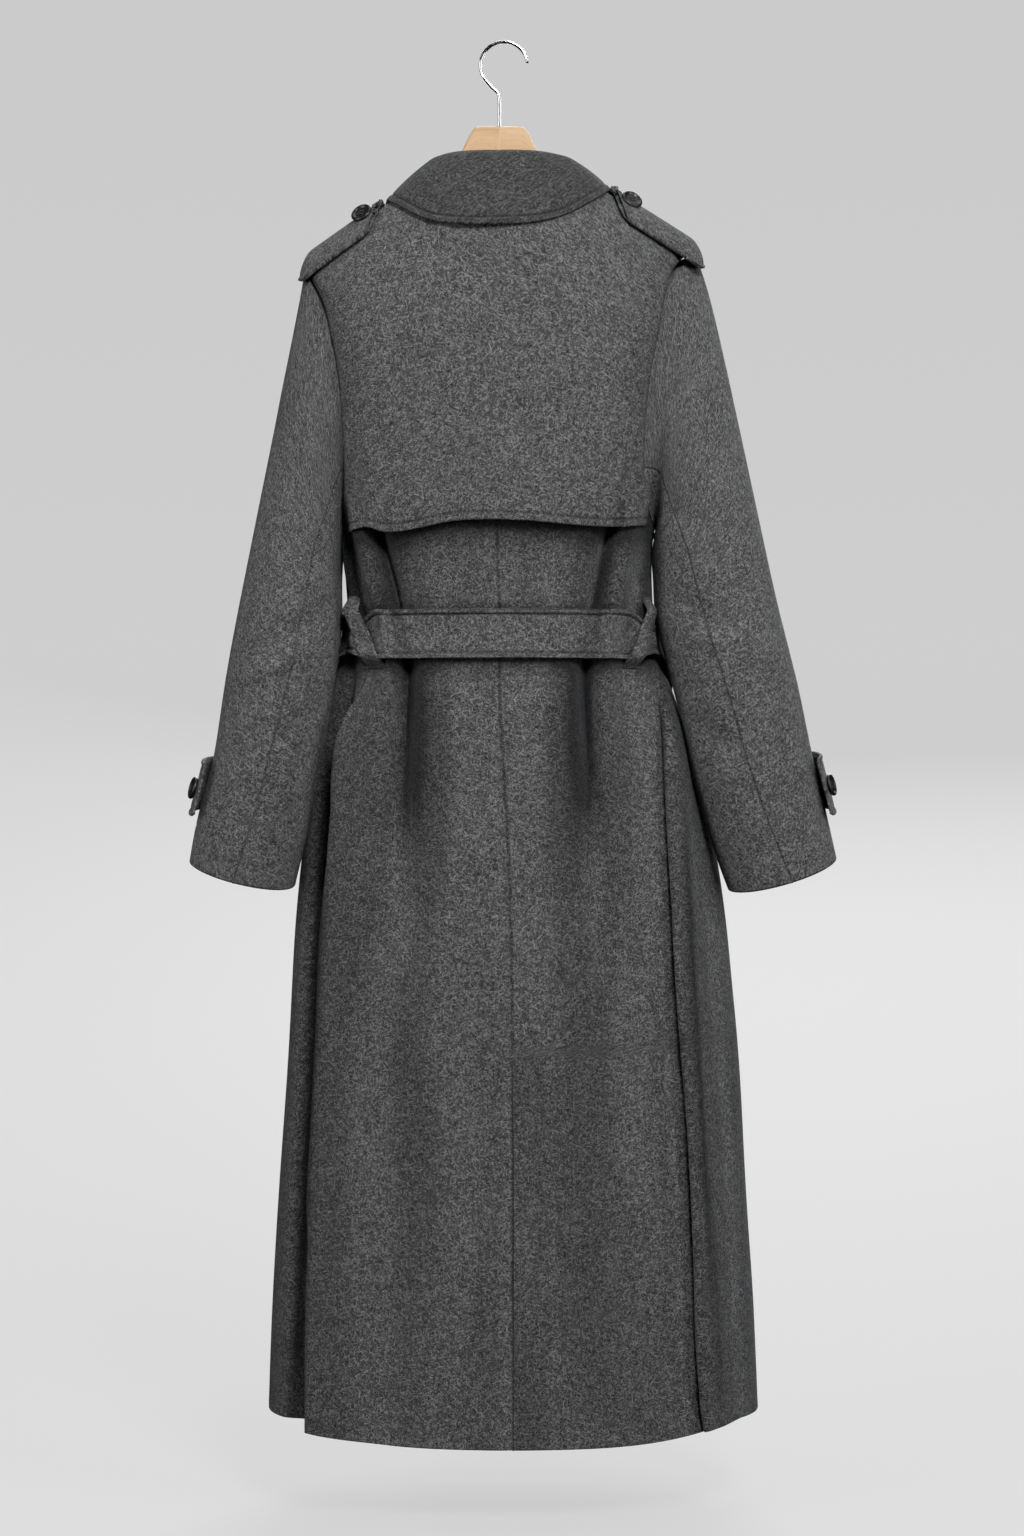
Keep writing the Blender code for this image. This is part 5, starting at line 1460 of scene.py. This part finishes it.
def make_buttons():
    """Buttons of the shoulder straps, the cuff straps and the front."""
    for side in (LEFT, RIGHT):
        inner = STRAP_ENDS[side][0]
        along = np.array([inner + BUTTON_FROM_END, inner + BUTTON_FROM_END + 2, inner + BUTTON_FROM_END])
        points = shoulder_strap_point(side, along, np.array([0.42, 0.42, 0.46]), STRAP_LIFT)
        here, facing = surface_frame(points)
        facing = unit(facing * np.sign(facing[2]) - (0, 0.45, 0))
        name = "shoulder_button_" + side_name(side)
        make_button(name, here + facing * 3.0 - (0, 1.5, 0), facing, BUTTON_RADIUS, name)
        turn = np.radians(np.array([CUFF_BUTTON_TURN, CUFF_BUTTON_TURN + 2, CUFF_BUTTON_TURN]))
        base = sleeve_point(side, turn, np.array([CUFF_STRAP_PLACE] * 2 + [CUFF_STRAP_PLACE + 0.01]))
        part = (CUFF_BUTTON_TURN - CUFF_STRAP_START) / (CUFF_STRAP_END - CUFF_STRAP_START)
        lift = CUFF_STRAP_LIFT + CUFF_STRAP_STANDS_OFF * (1 - ramp(part / 0.35))
        out = np.array([side * np.cos(turn[0]), -np.sin(turn[0]), 0.0])
        here, facing = surface_frame(base)
        facing = facing * np.sign(facing[0] * side)
        name = "cuff_button_" + side_name(side)
        make_button(name, here + out * lift + facing * 1.0, facing, BUTTON_RADIUS, name)
        for row, (z, stand_off) in enumerate(FRONT_BUTTON_ROWS, 1):
            half = column(BODY, "half", z)
            angle = np.pi - np.arcsin(FRONT_BUTTON_ACROSS * side / half)
            angles, heights = np.array([angle, angle + 0.01, angle]), np.array([z, z, z + 2.0])
            points = body(RIGHT, angles, heights, FRONT_LAYER)
            here, facing = surface_frame(points)
            facing = facing * np.sign(facing[1])
            name = f"front_button_{side_name(side)}_{row}"
            make_button(name, here + facing * stand_off, facing, FRONT_BUTTON_RADIUS, name)


def make_hanger():
    """Two wooden halves and the wire hook."""
    for side in (LEFT, RIGHT):
        reach = np.concatenate([np.linspace(0, 0.6, 70), np.linspace(0.6, 1, 40)[1:]])
        x = WOOD_CENTRE_X + side * (0.08 + WOOD_REACH[side] * reach)
        away = np.abs(x - WOOD_CENTRE_X)
        top = spline([0, 20, 24, 28, 33, 45, 74, 96],
                     [HEAD_TOP_Z, HEAD_TOP_Z, HEAD_TOP_Z - 0.6, -89, -99, -121, -149, -160.5], away)
        clear = shoulder_z(side, x) - 7.6
        top = np.where(np.abs(x) > 96, clear, np.where(np.abs(x) > 60, np.minimum(top, clear), top))
        deep = spline([0, 40, 90, 200], [46, 40, 33, 24], away)
        end = np.sqrt(np.clip(1 - np.clip((reach - 0.95) / 0.05, 0, 1) ** 2, 0.02, 1))
        middle, tall, thick = top - deep / 2, deep / 2 * end, WOOD_THICK / 2 * (0.4 + 0.6 * end)
        chamfer = 2.6
        outline = []
        for sx, sz in ((1, 1), (-1, 1), (-1, -1), (1, -1)):
            pair = [((sx, 0.0), (sz, chamfer)), ((sx, 0.35), (sz, chamfer * 0.62)),
                    ((sx, chamfer * 0.62), (sz, 0.35)), ((sx, chamfer), (sz, 0.0))]
            outline += pair if sx * sz > 0 else pair[::-1]
        verts, tex = [], []
        for (sx, dx), (sz, dz) in outline:
            y, z = sx * (thick - dx * end), middle + sz * (tall - dz * end)
            verts.append(np.stack([x, y, z], axis=1))
            tex.append(np.stack([away, z - top + (0 if sx > 0 else 90)], axis=1))
        verts, tex = np.stack(verts, axis=1), np.stack(tex, axis=1)
        index, quads = ring_faces(*verts.shape[:2], flip=True)
        name = "hanger_" + side_name(side)
        faces = [quads, index[:1, ::-1], index[-1:]]
        made = put_mesh("wood_" + name, verts.reshape(-1, 3), faces, FINISHES["beech"],
                        tex.reshape(-1, 2) + (37 * side, 0), smooth=False)
        fix_normals(made)
        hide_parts(name)
    turn = np.radians(np.linspace(HOOK_TIP, HOOK_END, 90))
    arc = np.stack([HOOK_RADIUS * np.cos(turn), HOOK_CENTRE_Z + HOOK_RADIUS * np.sin(turn)], axis=1)
    knots = np.array([arc[-1], (-12.5, -43.5), (-6.2, -49.5), (WOOD_CENTRE_X, -58.0), (WOOD_CENTRE_X, -70.0)])
    bend = spline(np.linspace(0, 1, 5), knots, np.linspace(0, 1, 50)[1:])
    stem = np.stack([np.full(6, WOOD_CENTRE_X), np.linspace(-71.5, HEAD_TOP_Z + 0.4, 6)], axis=1)
    route = np.concatenate([arc, bend, stem])
    route = np.stack([route[:, 0], np.zeros(len(route)), route[:, 1]], axis=1)
    verts, quads, ends = tube(route, HOOK_WIRE / 2, 24)
    verts, faces = join([(verts, [quads, *ends])])
    made = put_mesh("chrome_hook", verts, faces, FINISHES["chrome"])
    fix_normals(made)
    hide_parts("hanger_hook")


def area_light(lamp, looks):
    """Lamp that faces the middle of the coat and is not seen itself."""
    data = bpy.data.lights.new(lamp.name, "AREA")
    data.shape, data.size, data.size_y = "RECTANGLE", *lamp.size
    data.energy = getattr(looks, lamp.power) * lamp.share
    made = bpy.data.objects.new(lamp.name, data)
    made.location = lamp.place
    made.rotation_euler = (Vector(AIM) - Vector(lamp.place)).to_track_quat("-Z", "Y").to_euler()
    made.visible_camera = False
    bpy.context.scene.collection.objects.link(made)


def make_stage(looks):
    """Round studio: a floor that curves up into a wall all the way round, at equal distance."""
    curve = np.linspace(0, np.pi / 2, 40)
    radius = np.concatenate([np.linspace(0.02, STUDIO_FLAT, 20),
                             STUDIO_FLAT + STUDIO_BEND * np.sin(curve[1:])])
    height = np.concatenate([np.zeros(20), STUDIO_BEND * (1 - np.cos(curve[1:]))]) + FLOOR_Z
    turn = np.arange(96) * 2 * np.pi / 96
    verts = np.stack([radius[:, None] * np.cos(turn), radius[:, None] * np.sin(turn),
                      height[:, None] + 0 * turn], axis=-1)
    index, quads = ring_faces(*verts.shape[:2])
    mesh = bpy.data.meshes.new("studio")
    mesh.from_pydata(verts.reshape(-1, 3).tolist(), [], quads.tolist() + [index[0].tolist()])
    mesh.shade_smooth()
    mesh.materials.append(FINISHES["studio"])
    studio = bpy.data.objects.new("studio", mesh)
    bpy.context.scene.collection.objects.link(studio)
    studio.visible_diffuse = False
    studio.visible_glossy = False
    world = bpy.data.worlds.new("soft light")
    bpy.context.scene.world = world
    world.use_nodes = True
    tree = world.node_tree
    back = tree.nodes["Background"]
    coord = tree.nodes.new("ShaderNodeTexCoord")
    split = tree.nodes.new("ShaderNodeSeparateXYZ")
    fade = tree.nodes.new("ShaderNodeMapRange")
    fade.inputs["From Min"].default_value, fade.inputs["From Max"].default_value = -0.6, 0.9
    fade.inputs["To Min"].default_value, fade.inputs["To Max"].default_value = 0.08, 0.36
    tree.links.new(coord.outputs["Generated"], split.inputs[0])
    tree.links.new(split.outputs["Z"], fade.inputs["Value"])
    tree.links.new(fade.outputs["Result"], back.inputs["Strength"])
    for lamp in LAMPS:
        area_light(lamp, looks)
    data = bpy.data.cameras.new("camera")
    camera = bpy.data.objects.new("camera", data)
    camera.location = CAMERA_PLACE
    camera.rotation_euler = (np.pi / 2, 0, 0)
    data.sensor_width = SENSOR_MM
    data.lens = SENSOR_MM * CAMERA_WAY / FRAME_HEIGHT
    bpy.context.scene.collection.objects.link(camera)
    bpy.context.scene.camera = camera
    bpy.context.scene.view_settings.view_transform = "Standard"



# ---- add-on -----------------------------------------------------------------------------------------
def colour_property(name, description, default):
    """Setting that holds a colour."""
    return bpy.props.FloatVectorProperty(name=name, description=description, default=default, subtype="COLOR",
                                         size=3, min=0.0, max=1.0)


def size_property(name, description, default, **more):
    """Setting that holds a number."""
    return bpy.props.FloatProperty(name=name, description=description, default=default, **more)


class CoatLooks(bpy.types.PropertyGroup):
    """Colours, light and fine sizes of the coat."""
    unevenness: size_property("Unevenness", "Height of the slow waves in the cloth", 0.0011, unit="LENGTH")
    crease_depth: size_property("Crease depth", "Factor on every crease", 1.0, subtype="FACTOR")
    wool_deep: colour_property("Wool, deep", "Darkest hairs of the melange", (0.009, 0.009, 0.0095))
    # painted shade: colour of the cloth where shade falls, in folds, grooves and hollows
    wool_painted_shade: colour_property("Wool, in folds", "Cloth in the depth of a fold", (0.007, 0.007, 0.0075))
    wool_dark: colour_property("Wool, dark", "Dark end of the ground colour", (0.034, 0.034, 0.035))
    wool_mid: colour_property("Wool, mid", "Pale end of the ground colour", (0.103, 0.103, 0.104))
    wool_pale: colour_property("Wool, pale", "Palest hairs of the melange", (0.36, 0.36, 0.365))
    thread_dark: colour_property("Thread, dark", "Shaded side of the sewing thread", (0.02, 0.02, 0.021))
    thread_pale: colour_property("Thread, pale", "Lit side of the sewing thread", (0.07, 0.07, 0.072))
    horn_dark: colour_property("Horn, dark", "Ground colour of the buttons", (0.010, 0.010, 0.011))
    horn_pale: colour_property("Horn, pale", "Streaks in the buttons", (0.055, 0.052, 0.05))
    beech_dark: colour_property("Beech, dark", "Late growth and flecks", (0.52, 0.31, 0.145))
    beech_mid: colour_property("Beech, mid", "Ground colour of the wood", (0.65, 0.405, 0.21))
    beech_pale: colour_property("Beech, pale", "Early growth", (0.72, 0.50, 0.285))
    chrome_dark: colour_property("Chrome, dark", "Duller places of the wire", (0.55, 0.55, 0.55))
    chrome_pale: colour_property("Chrome, pale", "Brighter places of the wire", (0.80, 0.80, 0.80))
    studio_low: colour_property("Studio, low", "Floor", (0.57, 0.57, 0.573))
    studio_mid: colour_property("Studio, middle", "Wall at knee height", (0.59, 0.59, 0.594))
    studio_top: colour_property("Studio, top", "Wall above the coat", (0.58, 0.58, 0.585))
    key_power: size_property("Key light", "Power of the large light before the back", 84.0, unit="POWER")
    fill_power: size_property("Side lights", "Power of the light on each side", 46.0, unit="POWER")
    top_power: size_property("Top light", "Power of the light above", 26.0, unit="POWER")


class COAT_OT_finishes(bpy.types.Operator):
    """Makes the materials: wool, thread, horn, beech, chrome and studio paper."""
    bl_idname = "coat.finishes"
    bl_label = "Finishes"

    def execute(self, context):
        for finish in (wool_finish, thread_finish, horn_finish, beech_finish, chrome_finish, studio_finish):
            finish(context.scene.coat_looks)
        return {"FINISHED"}


class COAT_OT_body(bpy.types.Operator):
    """Makes the back and front panels with their seams, vent and stitching."""
    bl_idname = "coat.body"
    bl_label = "Body"

    def execute(self, context):
        make_body(context.scene.coat_looks)
        return {"FINISHED"}


class COAT_OT_storm_flap(bpy.types.Operator):
    """Makes the free flap over the upper back."""
    bl_idname = "coat.storm_flap"
    bl_label = "Storm flap"

    def execute(self, context):
        make_storm_flap()
        return {"FINISHED"}


class COAT_OT_sleeves(bpy.types.Operator):
    """Makes the upper and under sleeves."""
    bl_idname = "coat.sleeves"
    bl_label = "Sleeves"

    def execute(self, context):
        make_sleeves(context.scene.coat_looks)
        return {"FINISHED"}


class COAT_OT_collar(bpy.types.Operator):
    """Makes the collar, its stand and the lapels."""
    bl_idname = "coat.collar"
    bl_label = "Collar"

    def execute(self, context):
        make_collar()
        return {"FINISHED"}


class COAT_OT_straps(bpy.types.Operator):
    """Makes the shoulder and cuff straps."""
    bl_idname = "coat.straps"
    bl_label = "Straps"

    def execute(self, context):
        make_straps()
        return {"FINISHED"}


class COAT_OT_belt(bpy.types.Operator):
    """Makes the belt, its loops, knot and ends."""
    bl_idname = "coat.belt"
    bl_label = "Belt"

    def execute(self, context):
        make_belt()
        make_knot()
        return {"FINISHED"}


class COAT_OT_buttons(bpy.types.Operator):
    """Makes the buttons and the thread in their holes."""
    bl_idname = "coat.buttons"
    bl_label = "Buttons"

    def execute(self, context):
        make_buttons()
        return {"FINISHED"}


class COAT_OT_hanger(bpy.types.Operator):
    """Makes the wooden arms and the hook."""
    bl_idname = "coat.hanger"
    bl_label = "Hanger"

    def execute(self, context):
        make_hanger()
        return {"FINISHED"}


class COAT_OT_stage(bpy.types.Operator):
    """Makes the studio, the lights and the camera."""
    bl_idname = "coat.stage"
    bl_label = "Stage"

    def execute(self, context):
        make_stage(context.scene.coat_looks)
        return {"FINISHED"}


class COAT_PT_panel(bpy.types.Panel):
    """Lists the coat's operators and their settings."""
    bl_idname = "COAT_PT_panel"
    bl_label = "Trench coat"
    bl_space_type = "VIEW_3D"
    bl_region_type = "UI"
    bl_category = "Coat"

    def draw(self, context):
        for step in STEPS:
            self.layout.operator("coat." + step)
        for name in CoatLooks.__annotations__:
            self.layout.prop(context.scene.coat_looks, name)


STEPS = ("finishes", "body", "storm_flap", "sleeves", "collar", "straps", "belt", "buttons", "hanger",
         "stage")
CLASSES = (CoatLooks, COAT_OT_finishes, COAT_OT_body, COAT_OT_storm_flap, COAT_OT_sleeves, COAT_OT_collar,
           COAT_OT_straps, COAT_OT_belt, COAT_OT_buttons, COAT_OT_hanger, COAT_OT_stage, COAT_PT_panel)


def register():
    for made in CLASSES:
        bpy.utils.register_class(made)
    bpy.types.Scene.coat_looks = bpy.props.PointerProperty(type=CoatLooks)


def unregister():
    del bpy.types.Scene.coat_looks
    for made in reversed(CLASSES):
        bpy.utils.unregister_class(made)


def main():
    """Builds every step in order."""
    register()
    for step in STEPS:
        getattr(bpy.ops.coat, step)()


if __name__ == "__main__":
    main()
